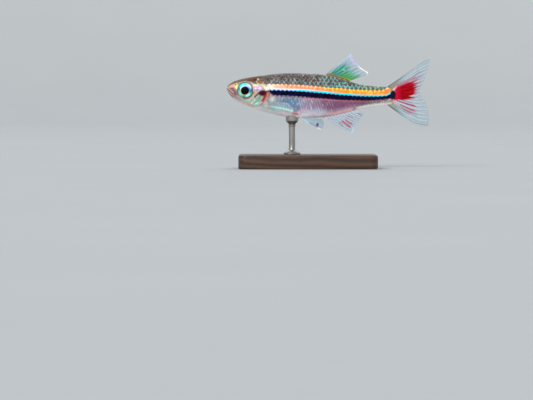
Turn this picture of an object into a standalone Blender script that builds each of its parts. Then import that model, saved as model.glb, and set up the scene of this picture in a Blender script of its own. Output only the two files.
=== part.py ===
"""Vietnamese cardinal minnow, a life-size still model held over a small display stand.

The fish heads along -X with its back up (+Z), so its left side faces -Y. The floor is z = 0 and the
origin lies under the middle of the whole length. The flesh is lofted whole, from rounded sections set
along the body axis, and is then parted by thin cuts. Each fin is a ribbed membrane whose root is trimmed
to the flesh that it grows from. Run it with: blender --background --python part.py
"""

import math
from dataclasses import dataclass

import bmesh
import bpy
import numpy as np

MM = 0.001
GAP = 0.3 * MM  # kept between pieces that meet

# Places on the fish are (behind the snout, above the body axis), in millimetres
TOTAL_LENGTH = 29.35  # snout to the tips of the tail fin
AXIS_HEIGHT = 10.6  # body axis above the floor, which clears the anal fin

# Flesh stations, in mm: behind the snout, back above the axis, belly above the axis, half breadth
FLESH = np.array(
    [
        (0.00, 0.94, 0.94, 0.00),  # snout tip
        (0.14, 1.37, 0.42, 0.36),  # lips
        (0.58, 1.72, -0.18, 0.66),
        (1.30, 2.06, -0.76, 0.96),  # nostrils
        (2.60, 2.42, -1.42, 1.30),  # eye
        (4.45, 2.72, -2.14, 1.60),  # nape
        (6.50, 3.02, -2.70, 1.74),  # gill opening
        (9.10, 3.18, -3.22, 1.78),  # deepest
        (11.70, 3.12, -3.33, 1.68),  # pelvic fins
        (14.30, 2.93, -3.11, 1.44),  # front of the dorsal fin
        (16.75, 2.33, -2.63, 1.15),
        (18.95, 1.62, -2.05, 0.87),
        (21.25, 1.26, -1.59, 0.62),
        (22.80, 1.21, -1.42, 0.50),  # narrowest stalk
        (23.50, 1.22, -1.40, 0.42),
        (23.95, 0.98, -1.14, 0.34),
        (24.25, 0.62, -0.74, 0.22),  # end of the flesh
    ]
)
WIDEST_SHARE = 0.52  # the sections are widest this far up from the belly
SECTION_POWER = 2.15  # a little fuller than an ellipse
RING_SIDES = 28
RINGS_PER_STATION = 3

# Eyes
EYE_PLACE = (2.62, 0.72)
EYE_RADIUS = 1.10
EYE_BULGE = 0.48  # half its depth across the head
EYE_SIDE = 1.03  # its middle, out from the midline

# Mouth, lips and nostrils
MOUTH_FRONT = (0.00, 1.08)
MOUTH_CORNER = (1.00, 0.16)
MOUTH_SLIT = 0.12
LIP_RADIUS = 0.13
NOSTRIL_PLACES = ((1.22, 1.50), (1.62, 1.60))
NOSTRIL_RADIUS = 0.15

# Cuts between head, gill covers, trunk and tail stalk
THROAT_LINE = ((5.30, 3.9), (5.25, 2.6), (5.0, 1.2), (4.8, 0.0), (4.3, -1.0), (3.6, -1.75), (2.9, -2.4), (2.7, -3.2))
STALK_LINE = ((18.70, 3.0), (18.95, 0.0), (18.60, -3.5))
GILL_COVER_EDGE = (
    (5.20, 1.95),
    (5.93, 1.32),
    (6.22, 0.52),
    (6.00, -0.22),
    (5.42, -0.87),
    (4.60, -1.49),
    (4.00, -1.66),
    (3.98, -1.20),
    (4.42, -0.40),
    (4.56, 0.62),
    (4.70, 1.60),
)
GILL_COVER_INNER = 0.90  # its flat back, out from the midline

# Fin membranes
FIN_HALF = 0.25  # half the thickness of a membrane
FIN_TIP_HALF = 0.09
RAY_RISE = 0.09  # how far a ray stands out of the membrane
RAY_SHARE = 0.24  # half a ray's width, as a share of the spacing
FIN_ROWS = 8

# Stand
BASE_SIZE = (20.0, 12.0, 2.0)
BASE_CENTRE_X = -3.0
BASE_CORNER = 1.2
BASE_EDGE = 0.25
ROD_BEHIND_SNOUT = 9.4
ROD_RADIUS = 0.5
FOOT_RADIUS = 1.25
FOOT_HEIGHT = 0.45
CUP_RADIUS = 0.95
CUP_HEIGHT = 0.7


def world(behind, above, aside=0.0):
    """A place on the fish, in mm, as a world point in metres."""
    return np.array([behind - TOTAL_LENGTH / 2, aside, above + AXIS_HEIGHT]) * MM


def through(points, at, before=None):
    """A Catmull-Rom curve through points, read at numbers from 0 to the last point's index.

    before is the point that steers the start; without it the first stretch is carried straight back.
    """
    points = np.asarray(points, float)
    first = 2 * points[0] - points[1] if before is None else np.asarray(before, float)
    last = 2 * points[-1] - points[-2]
    held = np.vstack([first, points, last])
    at = np.clip(np.atleast_1d(at).astype(float), 0, len(points) - 1)
    start = np.minimum(at.astype(int), len(points) - 2)
    s = (at - start)[:, None]
    a, b, c, d = (held[start + k] for k in range(4))
    return 0.5 * (2 * b + (c - a) * s + (2 * a - 5 * b + 4 * c - d) * s**2 + (3 * b - a - 3 * c + d) * s**3)


def curve_points(points, per_stretch):
    """Evenly numbered points along the smooth curve through points."""
    return through(points, np.linspace(0, len(points) - 1, (len(points) - 1) * per_stretch + 1))


def closed_curve_points(points, per_stretch):
    """The same round a closed outline, with no repeated point."""
    wrapped = list(points[-2:]) + list(points) + list(points[:2])
    at = 2 + np.arange(len(points) * per_stretch) / per_stretch
    return through(wrapped, at)


def widened(outline, distance):
    """A closed 2D outline moved outwards by distance."""
    step = np.roll(outline, -1, axis=0) - np.roll(outline, 1, axis=0)
    normal = np.stack([step[:, 1], -step[:, 0]], axis=1)
    normal /= np.linalg.norm(normal, axis=1)[:, None]
    following = np.roll(outline, -1, axis=0)
    turn = np.sum(outline[:, 0] * following[:, 1] - outline[:, 1] * following[:, 0])
    return outline + normal * distance * np.sign(turn)


def flesh_at(number):
    """(behind, back, belly, half breadth) at a station number, rounded over at the snout."""
    behind, back, belly, half = FLESH[1]
    return through(FLESH, number, before=(behind, belly, back, -half))


def half_breadth(behind, above):
    """Half the breadth of the flesh at a place in side view, 0 outside it."""
    numbers = np.linspace(0, len(FLESH) - 1, 400)
    _, back, belly, half = flesh_at(np.interp(behind, flesh_at(numbers)[:, 0], numbers))[0]
    middle = belly + WIDEST_SHARE * (back - belly)
    reach = (back - middle) if above > middle else (middle - belly)
    share = min(abs(above - middle) / max(reach, 1e-6), 1.0)
    return half * (1 - share**SECTION_POWER) ** (1 / SECTION_POWER)


def collection(name):
    """The named collection, made on first use."""
    found = bpy.data.collections.get(name)
    if found is None:
        found = bpy.data.collections.new(name)
        bpy.context.scene.collection.children.link(found)
    return found


def add_object(name, mesh, group="minnow"):
    """A mesh object in a collection, shaded smooth."""
    obj = bpy.data.objects.new(name, mesh)
    collection(group).objects.link(obj)
    mesh.shade_smooth()
    return obj


def mesh_from(bm, name):
    """A mesh from a bmesh, with its normals pointing out."""
    bmesh.ops.recalc_face_normals(bm, faces=bm.faces)
    mesh = bpy.data.meshes.new(name)
    bm.to_mesh(mesh)
    bm.free()
    return mesh


def as_cutter(obj):
    """Marks a helper that shapes other pieces and isn't part of the model."""
    obj.hide_render = True
    obj.display_type = "WIRE"
    return obj


def flesh_mesh(name, grow=0.0):
    """The whole flesh as a loft of rounded sections, grown outwards by grow mm."""
    numbers = np.linspace(0, len(FLESH) - 1, (len(FLESH) - 1) * RINGS_PER_STATION + 1)
    turn = np.linspace(0, 2 * math.pi, RING_SIDES, endpoint=False)
    power = 2 / SECTION_POWER
    across = np.sign(np.sin(turn)) * np.abs(np.sin(turn)) ** power
    upward = np.sign(np.cos(turn)) * np.abs(np.cos(turn)) ** power
    bm = bmesh.new()
    rings = []
    for behind, back, belly, half in flesh_at(numbers)[1:]:
        middle = belly + WIDEST_SHARE * (back - belly)
        reach = np.where(upward > 0, back - middle, middle - belly) + grow
        # the grown flesh is also longer, by grow at the snout and at the stalk's end
        along = behind + grow * (2 * behind / FLESH[-1, 0] - 1)
        points = [world(along, middle + r * u, (half + grow) * a) for r, u, a in zip(reach, upward, across)]
        rings.append([bm.verts.new(p) for p in points])
    tip = bm.verts.new(world(FLESH[0, 0] - grow, FLESH[0, 1]))
    for k in range(RING_SIDES):
        after = (k + 1) % RING_SIDES
        bm.faces.new((tip, rings[0][k], rings[0][after]))
        for near, far in zip(rings, rings[1:]):
            bm.faces.new((near[k], far[k], far[after], near[after]))
    bm.faces.new(rings[-1])
    return mesh_from(bm, name)


def prism(name, outline, near, far):
    """A cutter: a side-view outline in mm, extruded across the fish from near to far."""
    curve = bpy.data.curves.new(name, "CURVE")
    curve.dimensions = "2D"
    curve.fill_mode = "BOTH"
    curve.extrude = abs(far - near) / 2 * MM
    spline = curve.splines.new("POLY")
    spline.points.add(len(outline) - 1)
    spline.use_cyclic_u = True
    for point, (behind, above) in zip(spline.points, outline):
        x, _, z = world(behind, above)
        point.co = (x, z, 0, 1)
    drawn = bpy.data.objects.new(name + "_curve", curve)
    collection("cutters").objects.link(drawn)
    drawn.rotation_euler = (math.pi / 2, 0, 0)
    drawn.location.y = (near + far) / 2 * MM
    bpy.context.view_layer.update()
    mesh = bpy.data.meshes.new_from_object(drawn.evaluated_get(bpy.context.evaluated_depsgraph_get()))
    mesh.transform(drawn.matrix_world)
    bpy.data.objects.remove(drawn)
    bm = bmesh.new()
    bm.from_mesh(mesh)
    bmesh.ops.remove_doubles(bm, verts=bm.verts, dist=1e-6)
    return as_cutter(add_object(name, mesh_from(bm, name), "cutters"))


def largest_body(mesh):
    """Keeps only the largest closed surface of a mesh."""
    bm = bmesh.new()
    bm.from_mesh(mesh)
    left, bodies = set(bm.faces), []
    while left:
        body, todo = set(), [left.pop()]
        while todo:
            face = todo.pop()
            body.add(face)
            for edge in face.edges:
                for other in edge.link_faces:
                    if other in left:
                        left.discard(other)
                        todo.append(other)
        bodies.append(body)
    keep = max(bodies, key=lambda body: sum(face.calc_area() for face in body))
    bmesh.ops.delete(bm, geom=[f for f in bm.faces if f not in keep], context="FACES")
    bm.to_mesh(mesh)
    bm.free()


def shape_by(obj, operation, *others):
    """Cuts obj by, joins it to, or keeps what it shares with each of the other objects, in turn."""
    for other in others:
        modifier = obj.modifiers.new(other.name, "BOOLEAN")
        modifier.operation = operation
        modifier.solver = "EXACT"
        modifier.object = other
    bpy.context.view_layer.update()
    mesh = bpy.data.meshes.new_from_object(obj.evaluated_get(bpy.context.evaluated_depsgraph_get()))
    obj.modifiers.clear()
    obj.data = mesh
    largest_body(mesh)
    return obj


def ellipsoid(name, centre, radii, group="minnow"):
    """A ball with its poles across the fish, stretched to three radii, all in mm."""
    bm = bmesh.new()
    bmesh.ops.create_uvsphere(bm, u_segments=18, v_segments=12, radius=1)
    for vert in bm.verts:
        x, y, z = vert.co
        vert.co = np.array([x * radii[0], -z * radii[1], y * radii[2]]) * MM + np.asarray(centre)
    return add_object(name, mesh_from(bm, name), group)


def side_name(side):
    """The fish's left side faces -Y."""
    return "left" if side < 0 else "right"


def add_eyes():
    """The eyeballs, bulging a little from the sides of the head, and the cutters for their sockets."""
    sockets = []
    for side in (-1, 1):
        centre = world(*EYE_PLACE, side * EYE_SIDE)
        name = side_name(side)
        ellipsoid("eye_" + name, centre, (EYE_RADIUS, EYE_BULGE, EYE_RADIUS))
        room = np.array([EYE_RADIUS, EYE_BULGE, EYE_RADIUS]) + GAP / MM
        sockets.append(as_cutter(ellipsoid("socket_" + name, centre, room, "cutters")))
    return sockets


def mouth_line(share, off=0.0):
    """A place along the mouth, from its front (0) to its corner (1), moved off the line upwards."""
    front, corner = np.array(MOUTH_FRONT), np.array(MOUTH_CORNER)
    along = corner - front
    square = np.array([-along[1], along[0]]) / np.linalg.norm(along)
    return front + along * share + square * off


def mouth_slit():
    """A thin wedge that opens the line of the mouth, across the whole snout."""
    ahead = -0.8
    outline = [
        mouth_line(ahead, MOUTH_SLIT / 2),
        mouth_line(0.0, MOUTH_SLIT / 2),
        mouth_line(0.9, MOUTH_SLIT / 2),
        mouth_line(1.0, 0.0),
        mouth_line(0.9, -MOUTH_SLIT / 2),
        mouth_line(0.0, -MOUTH_SLIT / 2),
        mouth_line(ahead, -MOUTH_SLIT / 2),
    ]
    return prism("mouth_slit", outline, -2.0, 2.0)


def lip(name, off):
    """A soft rim along one side of the mouth, half an ellipse round the snout from corner to corner."""
    curve = bpy.data.curves.new(name, "CURVE")
    curve.dimensions = "3D"
    curve.bevel_depth = LIP_RADIUS * MM
    curve.bevel_resolution = 1
    curve.use_fill_caps = True
    corner = mouth_line(1.0, off)
    front = mouth_line(0.0, off)
    front[0] = max(front[0], 0.0)
    out = half_breadth(*corner) - 0.3 * LIP_RADIUS
    turns = np.linspace(-0.5, 0.5, 15) * math.pi
    spline = curve.splines.new("POLY")
    spline.points.add(len(turns) - 1)
    for point, turn in zip(spline.points, turns):
        behind, above = front + (corner - front) * (1 - math.cos(turn))
        room = LIP_RADIUS * math.cos(turn)
        point.co = (*world(behind + room, above, out * math.sin(turn)), 1)
    drawn = bpy.data.objects.new(name, curve)
    collection("cutters").objects.link(drawn)
    bpy.context.view_layer.update()
    mesh = bpy.data.meshes.new_from_object(drawn.evaluated_get(bpy.context.evaluated_depsgraph_get()))
    bpy.data.objects.remove(drawn)
    bm = bmesh.new()
    bm.from_mesh(mesh)
    bmesh.ops.remove_doubles(bm, verts=bm.verts, dist=1e-6)
    return as_cutter(add_object(name, mesh_from(bm, name), "cutters"))


def nostrils():
    """Cutters for the two small nostril pits on each side."""
    pits = []
    for side in (-1, 1):
        for number, (behind, above) in enumerate(NOSTRIL_PLACES):
            centre = world(behind, above, side * (half_breadth(behind, above) + 0.02))
            radii = [NOSTRIL_RADIUS] * 3
            pits.append(as_cutter(ellipsoid(f"pit_{side_name(side)}_{number}", centre, radii, "cutters")))
    return pits


def zone(name, line, edge, shift):
    """A cutter for all of the fish on one side of a side-view line, moved along the body by shift mm."""
    points = curve_points(line, 6) + np.array([shift, 0.0])
    far = [(edge, points[-1][1]), (edge, points[0][1])]
    return prism(name, [*points, *far], -4.0, 4.0)


def gill_cover_zones(name, grow):
    """Cutters for both gill covers, grown by grow mm all round."""
    outline = closed_curve_points(GILL_COVER_EDGE, 4)
    outline = widened(outline, grow) if grow else outline
    inner, outer = GILL_COVER_INNER - grow, 4.0
    return [prism(f"{name}_{side_name(side)}", outline, side * inner, side * outer) for side in (-1, 1)]


def add_flesh():
    """Head, gill covers, trunk and tail stalk, parted from one whole body by thin cuts."""
    gap = GAP / MM
    ahead, behind = -2.0, 30.0
    head_zone = zone("head_zone", THROAT_LINE, ahead, 0.0)
    head_room = zone("head_room", THROAT_LINE, ahead, gap)
    stalk_zone = zone("stalk_zone", STALK_LINE, behind, 0.0)
    stalk_room = zone("stalk_room", STALK_LINE, behind, -gap)
    covers = gill_cover_zones("cover", 0.0)
    cover_rooms = gill_cover_zones("cover_room", gap)

    lip_off = MOUTH_SLIT / 2 + 0.6 * LIP_RADIUS
    head = add_object("head", flesh_mesh("head"))
    shape_by(head, "INTERSECT", head_zone)
    shape_by(head, "UNION", lip("upper_lip", lip_off), lip("lower_lip", -lip_off))
    shape_by(head, "DIFFERENCE", mouth_slit(), *nostrils(), *add_eyes(), *cover_rooms)

    for side, cover in zip((-1, 1), covers):
        gill_cover = add_object("gill_cover_" + side_name(side), flesh_mesh("gill_cover"))
        shape_by(gill_cover, "INTERSECT", cover)

    trunk = add_object("trunk", flesh_mesh("trunk"))
    shape_by(trunk, "DIFFERENCE", head_room, stalk_room, *cover_rooms)

    stalk = add_object("tail_stalk", flesh_mesh("tail_stalk"))
    shape_by(stalk, "INTERSECT", stalk_zone)


@dataclass
class Fin:
    """One fin: where its rays start and end in side view, and how it leaves the body."""

    name: str
    roots: tuple  # from the leading ray to the last, sunk in the flesh
    tips: tuple  # ends of the rays, in the same order
    rays: int
    bow: tuple = (0.0, 0.0)  # how far the leading and the last ray bulge forward, in mm
    aside: tuple = (0.0, 0.0)  # out from the midline at the root and at the tip, in mm
    side: int = 0  # -1 left, 1 right, 0 on the midline


def ray_columns(rays):
    """(place across the fin from 0 to 1, rise of the surface) for each column of its mesh."""
    columns = []
    for place in np.arange(rays) / (rays - 1):
        width = RAY_SHARE / (rays - 1)
        for offset, rise in ((-width, 0.0), (0.0, RAY_RISE), (width, 0.0)):
            if 0 <= place + offset <= 1:
                columns.append((place + offset, rise))
    return columns


def fin_surface(fin, columns, rows):
    """The middle surface of a fin, as an array of columns by rows by 3, in mm on the fish."""
    across = np.array(columns)
    along = np.array(rows)[None, :, None]
    roots = through(fin.roots, across * (len(fin.roots) - 1))[:, None, :]
    tips = through(fin.tips, across * (len(fin.tips) - 1))[:, None, :]
    run = tips - roots
    square = np.stack([-run[..., 1], run[..., 0]], axis=-1) / np.linalg.norm(run, axis=-1, keepdims=True)
    bow = (fin.bow[0] + (fin.bow[1] - fin.bow[0]) * across)[:, None, None]
    flat = roots + run * along + square * bow * 4 * along * (1 - along)
    # a paired fin leaves the flesh steeply and then sweeps back along it
    sweep = 1 - (1 - along) ** 2
    out = (fin.aside[0] + (fin.aside[1] - fin.aside[0]) * sweep) * fin.side
    out = np.broadcast_to(out, (*flat.shape[:2], 1))
    return np.concatenate([flat[..., :1], out, flat[..., 1:]], axis=-1)


def fin_mesh(fin):
    """A fin as one closed body: the same triangles on both faces, and rays raised in the surface."""
    columns = ray_columns(fin.rays)
    rows = np.linspace(0, 1, FIN_ROWS + 1)
    middle = fin_surface(fin, [c for c, _ in columns], rows)
    normal = np.cross(np.gradient(middle, axis=0), np.gradient(middle, axis=1))
    normal /= np.linalg.norm(normal, axis=-1, keepdims=True)
    thin = np.clip((rows - 0.6) / 0.4, 0, 1) ** 1.5
    half = FIN_HALF + (FIN_TIP_HALF - FIN_HALF) * thin
    rise = np.array([r for _, r in columns])[:, None] * (1 - 0.8 * rows)[None, :]
    offset = normal * (half[None, :] + rise)[..., None]

    bm = bmesh.new()
    faces = []
    for sheet in (middle + offset, middle - offset):
        faces.append([[bm.verts.new(world(p[0], p[2], p[1])) for p in column] for column in sheet])
    for grid in faces:
        for left, right in zip(grid, grid[1:]):
            for k in range(FIN_ROWS):
                bm.faces.new((left[k], right[k], right[k + 1]))
                bm.faces.new((left[k], right[k + 1], left[k + 1]))
    front, back = faces
    rims = [
        (front[0], back[0]),
        (front[-1], back[-1]),
        ([c[0] for c in front], [c[0] for c in back]),
        ([c[-1] for c in front], [c[-1] for c in back]),
    ]
    for one, other in rims:
        for k in range(len(one) - 1):
            bm.faces.new((one[k], one[k + 1], other[k + 1]))
            bm.faces.new((one[k], other[k + 1], other[k]))
    return mesh_from(bm, fin.name)


def median_fins():
    """The fins on the midline: dorsal, anal and the two lobes of the tail fin."""
    middle_root, notch = (23.7, 0.10), (27.80, 0.42)
    half_split = 0.5 * GAP / MM
    upper_tip = (TOTAL_LENGTH, 5.24)
    lower_tip = (TOTAL_LENGTH - 0.10, -4.42)
    return [
        Fin(
            "dorsal_fin",
            roots=((13.35, 2.10), (15.00, 1.65), (16.20, 1.15)),
            tips=((18.02, 6.06), (18.55, 5.25), (19.15, 4.45), (19.85, 3.80), (20.44, 3.20)),
            rays=9,
            bow=(0.06, 0.0),
        ),
        Fin(
            "anal_fin",
            roots=((13.50, -2.30), (15.40, -2.05), (16.90, -1.80)),
            tips=((18.02, -5.62), (18.45, -4.85), (18.95, -4.05), (19.45, -3.25), (19.80, -2.60)),
            rays=11,
            bow=(-0.32, 0.0),
        ),
        Fin(
            "tail_fin_upper",
            roots=((22.60, 0.85), (23.2, 0.60), (middle_root[0], middle_root[1] + half_split)),
            tips=(upper_tip, (29.05, 3.75), (28.45, 2.10), (notch[0], notch[1] + half_split)),
            rays=10,
            bow=(0.18, 0.0),
        ),
        Fin(
            "tail_fin_lower",
            roots=((22.50, -0.95), (23.2, -0.40), (middle_root[0], middle_root[1] - half_split)),
            tips=(lower_tip, (29.15, -3.1), (28.55, -1.20), (notch[0], notch[1] - half_split)),
            rays=9,
            bow=(-0.36, 0.0),
        ),
    ]


def paired_fins():
    """The pectoral and pelvic fins of both sides."""
    fins = []
    for side in (-1, 1):
        fins.append(
            Fin(
                "pectoral_fin_" + side_name(side),
                roots=((5.35, -1.60), (5.20, -1.25), (5.20, -0.90)),
                tips=((9.55, -2.45), (9.60, -1.95), (9.10, -1.45), (8.30, -1.05)),
                rays=9,
                bow=(0.12, 0.0),
                aside=(0.75, 3.0),
                side=side,
            )
        )
        fins.append(
            Fin(
                "pelvic_fin_" + side_name(side),
                roots=((9.95, -2.72), (10.40, -2.78), (10.90, -2.95)),
                tips=((13.55, -5.02), (13.90, -4.62), (14.05, -4.15), (13.85, -3.75)),
                rays=7,
                bow=(-0.15, 0.0),
                aside=(0.30, 1.15),
                side=side,
            )
        )
    return fins


def add_fins(flesh_room):
    """Every fin, its root trimmed to the flesh with the gap between them."""
    for fin in median_fins() + paired_fins():
        obj = add_object(fin.name, fin_mesh(fin))
        shape_by(obj, "DIFFERENCE", flesh_room)


def add_stand(flesh_room):
    """A flat base with round corners, and one turned rod with a foot and a cup that takes the belly."""
    length, breadth, height = (side * MM for side in BASE_SIZE)
    bpy.ops.mesh.primitive_cube_add(size=1, location=(BASE_CENTRE_X * MM, 0, height / 2))
    base = bpy.context.object
    base.name = base.data.name = "stand_base"
    base.scale = (length, breadth, height)
    bpy.ops.object.transform_apply(location=False, rotation=False, scale=True)
    for each in base.users_collection:
        each.objects.unlink(base)
    collection("minnow").objects.link(base)
    weights = base.data.attributes.new("bevel_weight_edge", "FLOAT", "EDGE")
    for edge in base.data.edges:
        first, second = (base.data.vertices[i].co for i in edge.vertices)
        weights.data[edge.index].value = float(abs(first.z - second.z) > height / 2)
    corners = base.modifiers.new("corners", "BEVEL")
    corners.width, corners.segments, corners.limit_method = BASE_CORNER * MM, 5, "WEIGHT"
    rim = base.modifiers.new("rim", "BEVEL")
    rim.width, rim.segments, rim.limit_method, rim.angle_limit = BASE_EDGE * MM, 2, "ANGLE", math.radians(50)

    floor = BASE_SIZE[2] + GAP / MM
    belly = flesh_at(np.interp(ROD_BEHIND_SNOUT, FLESH[:, 0], np.arange(len(FLESH))))[0][2] + AXIS_HEIGHT
    top = belly + 0.5
    profile = [
        (0.0, top),
        (CUP_RADIUS, top),
        (CUP_RADIUS, belly - 0.35 * CUP_HEIGHT),
        (ROD_RADIUS, belly - 1.6 * CUP_HEIGHT),
        (ROD_RADIUS, floor + FOOT_HEIGHT + 0.25),
        (ROD_RADIUS + 0.15, floor + FOOT_HEIGHT),
        (FOOT_RADIUS, floor + 0.6 * FOOT_HEIGHT),
        (FOOT_RADIUS, floor),
        (0.0, floor),
    ]
    bm = bmesh.new()
    verts = [bm.verts.new((r * MM, 0, z * MM)) for r, z in profile]
    for one, other in zip(verts, verts[1:]):
        bm.edges.new((one, other))
    mesh = bpy.data.meshes.new("stand_rod")
    bm.to_mesh(mesh)
    bm.free()
    rod = add_object("stand_rod", mesh)
    rod.location.x = (ROD_BEHIND_SNOUT - TOTAL_LENGTH / 2) * MM
    turn = rod.modifiers.new("turn", "SCREW")
    turn.steps = turn.render_steps = 24
    turn.use_merge_vertices, turn.merge_threshold = True, 1e-5
    shape_by(rod, "DIFFERENCE", flesh_room)


def paint(prefix, colour, roughness, metallic=0.0, alpha=1.0):
    """Gives every object whose name starts with prefix one Principled material."""
    material = bpy.data.materials.new(prefix)
    material.use_nodes = True
    shader = material.node_tree.nodes["Principled BSDF"]
    shader.inputs["Base Color"].default_value = (*colour, 1.0)
    shader.inputs["Roughness"].default_value = roughness
    shader.inputs["Metallic"].default_value = metallic
    shader.inputs["Alpha"].default_value = alpha
    for obj in collection("minnow").objects:
        if obj.name.startswith(prefix):
            obj.data.materials.clear()
            obj.data.materials.append(material)


def build():
    """Clears the scene and builds the whole model."""
    for obj in list(bpy.data.objects):
        bpy.data.objects.remove(obj)
    add_flesh()
    flesh_room = as_cutter(add_object("flesh_room", flesh_mesh("flesh_room", GAP / MM), "cutters"))
    add_fins(flesh_room)
    add_stand(flesh_room)

    paint("head", (0.55, 0.42, 0.36), 0.35)
    paint("gill_cover", (0.62, 0.74, 0.68), 0.30)
    paint("trunk", (0.60, 0.50, 0.52), 0.35)
    paint("tail_stalk", (0.85, 0.50, 0.22), 0.35)
    paint("eye", (0.30, 0.80, 0.85), 0.12)
    paint("dorsal_fin", (0.45, 0.62, 0.35), 0.40, alpha=0.6)
    paint("anal_fin", (0.70, 0.55, 0.58), 0.40, alpha=0.6)
    paint("tail_fin", (0.72, 0.05, 0.07), 0.40, alpha=0.8)
    paint("pectoral_fin", (0.80, 0.84, 0.86), 0.40, alpha=0.5)
    paint("pelvic_fin", (0.75, 0.82, 0.86), 0.40, alpha=0.5)
    paint("stand_base", (0.16, 0.08, 0.04), 0.45)
    paint("stand_rod", (0.62, 0.60, 0.56), 0.28, metallic=1.0)


build()
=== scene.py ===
"""Looks of a life-size vietnamese cardinal minnow, held over a small display stand.

Sizes on the fish are millimetres in its own side view: behind the snout, above the body axis, and aside
from the midline, where minus is the fish's left, the side that faces the camera. Every surface is worked
out as whole arrays of points, painted with named colours, and finished by a procedural material. Colours
are six hex digits, or arrays of linear ones.
"""

from __future__ import annotations

import logging
import math
from collections.abc import Callable, Sequence
from dataclasses import dataclass, field
from enum import Enum

import bmesh
import bpy
import numpy as np
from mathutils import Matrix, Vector


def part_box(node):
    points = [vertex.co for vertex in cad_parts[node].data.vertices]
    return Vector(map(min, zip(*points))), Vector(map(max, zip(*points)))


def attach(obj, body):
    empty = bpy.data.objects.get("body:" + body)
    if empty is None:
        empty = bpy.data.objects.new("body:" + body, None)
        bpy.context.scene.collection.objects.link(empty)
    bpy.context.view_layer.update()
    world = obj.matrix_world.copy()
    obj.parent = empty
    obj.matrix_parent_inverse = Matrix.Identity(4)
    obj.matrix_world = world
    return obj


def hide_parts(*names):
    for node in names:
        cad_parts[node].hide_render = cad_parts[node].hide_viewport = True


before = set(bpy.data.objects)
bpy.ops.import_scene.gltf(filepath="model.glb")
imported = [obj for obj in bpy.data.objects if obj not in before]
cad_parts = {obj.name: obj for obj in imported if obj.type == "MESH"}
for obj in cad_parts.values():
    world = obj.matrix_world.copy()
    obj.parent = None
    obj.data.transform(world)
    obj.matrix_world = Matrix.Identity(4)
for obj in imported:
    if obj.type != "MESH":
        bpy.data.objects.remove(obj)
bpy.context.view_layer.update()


log = logging.getLogger("minnow")

MM = 0.001
TURN = 2 * math.pi
Array = np.ndarray
Colour = str | np.ndarray
Material = bpy.types.Material

# Flesh stations, as in the solids: behind the snout, back, belly, half breadth
FLESH = np.array((
    (0.00, 0.94, 0.94, 0.00),
    (0.14, 1.37, 0.42, 0.36),
    (0.58, 1.72, -0.18, 0.66),
    (1.30, 2.06, -0.76, 0.96),
    (2.60, 2.42, -1.42, 1.30),
    (4.45, 2.72, -2.14, 1.60),
    (6.50, 3.02, -2.70, 1.74),
    (9.10, 3.18, -3.22, 1.78),
    (11.70, 3.12, -3.33, 1.68),
    (14.30, 2.93, -3.11, 1.44),
    (16.75, 2.33, -2.63, 1.15),
    (18.95, 1.62, -2.05, 0.87),
    (21.25, 1.26, -1.59, 0.62),
    (22.80, 1.21, -1.42, 0.50),
    (23.50, 1.22, -1.40, 0.42),
    (23.95, 0.98, -1.14, 0.34),
    (24.25, 0.62, -0.74, 0.22),
))
FLESH_LENGTH = float(FLESH[-1, 0])
LAST_STATION = len(FLESH) - 1
WIDEST_SHARE = 0.52  # how far up from the belly a section is widest
SECTION_POWER = 2.15  # 2 would make a section round

# Places on the head, shared by the skin's relief, its colours and the eyes
EYE_PLACE = (2.62, 0.72)
EYE_RADIUS = 1.11
EYE_RIM_ASIDE = 1.14  # how far out the rim of the eye stands at its middle
EYE_TURN = (0.13, -0.06)  # how much further out the rim is for each mm back, and up
MOUTH_LINE = ((-0.02, 1.05), (0.22, 0.76), (0.58, 0.40), (1.05, 0.08))
MAXILLA_LINE = ((0.66, 1.16), (0.86, 0.74), (1.06, 0.36), (1.22, 0.04))
NOSTRILS = ((1.22, 1.50), (1.60, 1.60))
GILL_EDGE = (
    (4.95, 2.00), (5.60, 1.78), (6.08, 1.20), (6.25, 0.48),
    (6.02, -0.26), (5.42, -0.92), (4.55, -1.52), (3.55, -1.82),
)
CHEEK_EDGE = ((4.15, 1.95), (4.28, 1.20), (4.22, 0.50), (3.96, -0.20), (3.45, -0.85), (2.65, -1.22))
JAW_CREASES = (
    ((1.00, -0.35), (2.00, -0.95), (3.20, -1.45), (4.40, -1.85)),
    ((4.05, -0.05), (4.75, -0.35), (5.35, -0.40), (5.90, -0.28)),
    ((3.90, -0.60), (4.30, -1.10), (4.90, -1.22)),
)
THROAT_CREASES = (
    ((2.20, -1.20), (3.20, -1.66), (4.30, -2.00)),
    ((2.60, -1.46), (3.60, -1.84), (4.50, -2.12)),
)
SCALE_PITCH = 0.61  # from scale to scale along a row
ROW_PITCH = 0.53  # from row to row round the body


class Side(Enum):
    """A side of the fish, with its sign along the aside direction."""

    LEFT = -1
    RIGHT = 1

    @property
    def label(self) -> str:
        """The side's word in the names of nodes and pieces."""
        return self.name.lower()


def linear(colour: Colour) -> Array:
    """A linear colour, worked out from six hex digits by the usual screen curve.

    Args:
        colour: the digits, or a linear colour, which is left as it is.

    Returns:
        Red, green and blue.
    """
    if not isinstance(colour, str):
        return colour
    screen = np.array([int(colour[k : k + 2], 16) for k in (0, 2, 4)]) / 255
    return np.where(screen <= 0.04045, screen / 12.92, ((screen + 0.055) / 1.055) ** 2.4)


def rise(low: float, high: float, x: Array) -> Array:
    """A smooth step from 0 at low to 1 at high: three times the square less twice the cube."""
    t = np.clip((x - low) / (high - low), 0, 1)
    return t * t * (3 - 2 * t)


def bell(x: Array, width: float) -> Array:
    """A bell curve, 1 at 0 and 1/e at width."""
    return np.exp(-((x / width) ** 2))


def mixed(under: Colour, over: Colour, mask: Array) -> Array:
    """Colours with another colour laid over them by a mask from 0 to 1."""
    ground = linear(under)
    return ground + (linear(over) - ground) * np.asarray(mask)[..., None]


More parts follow.
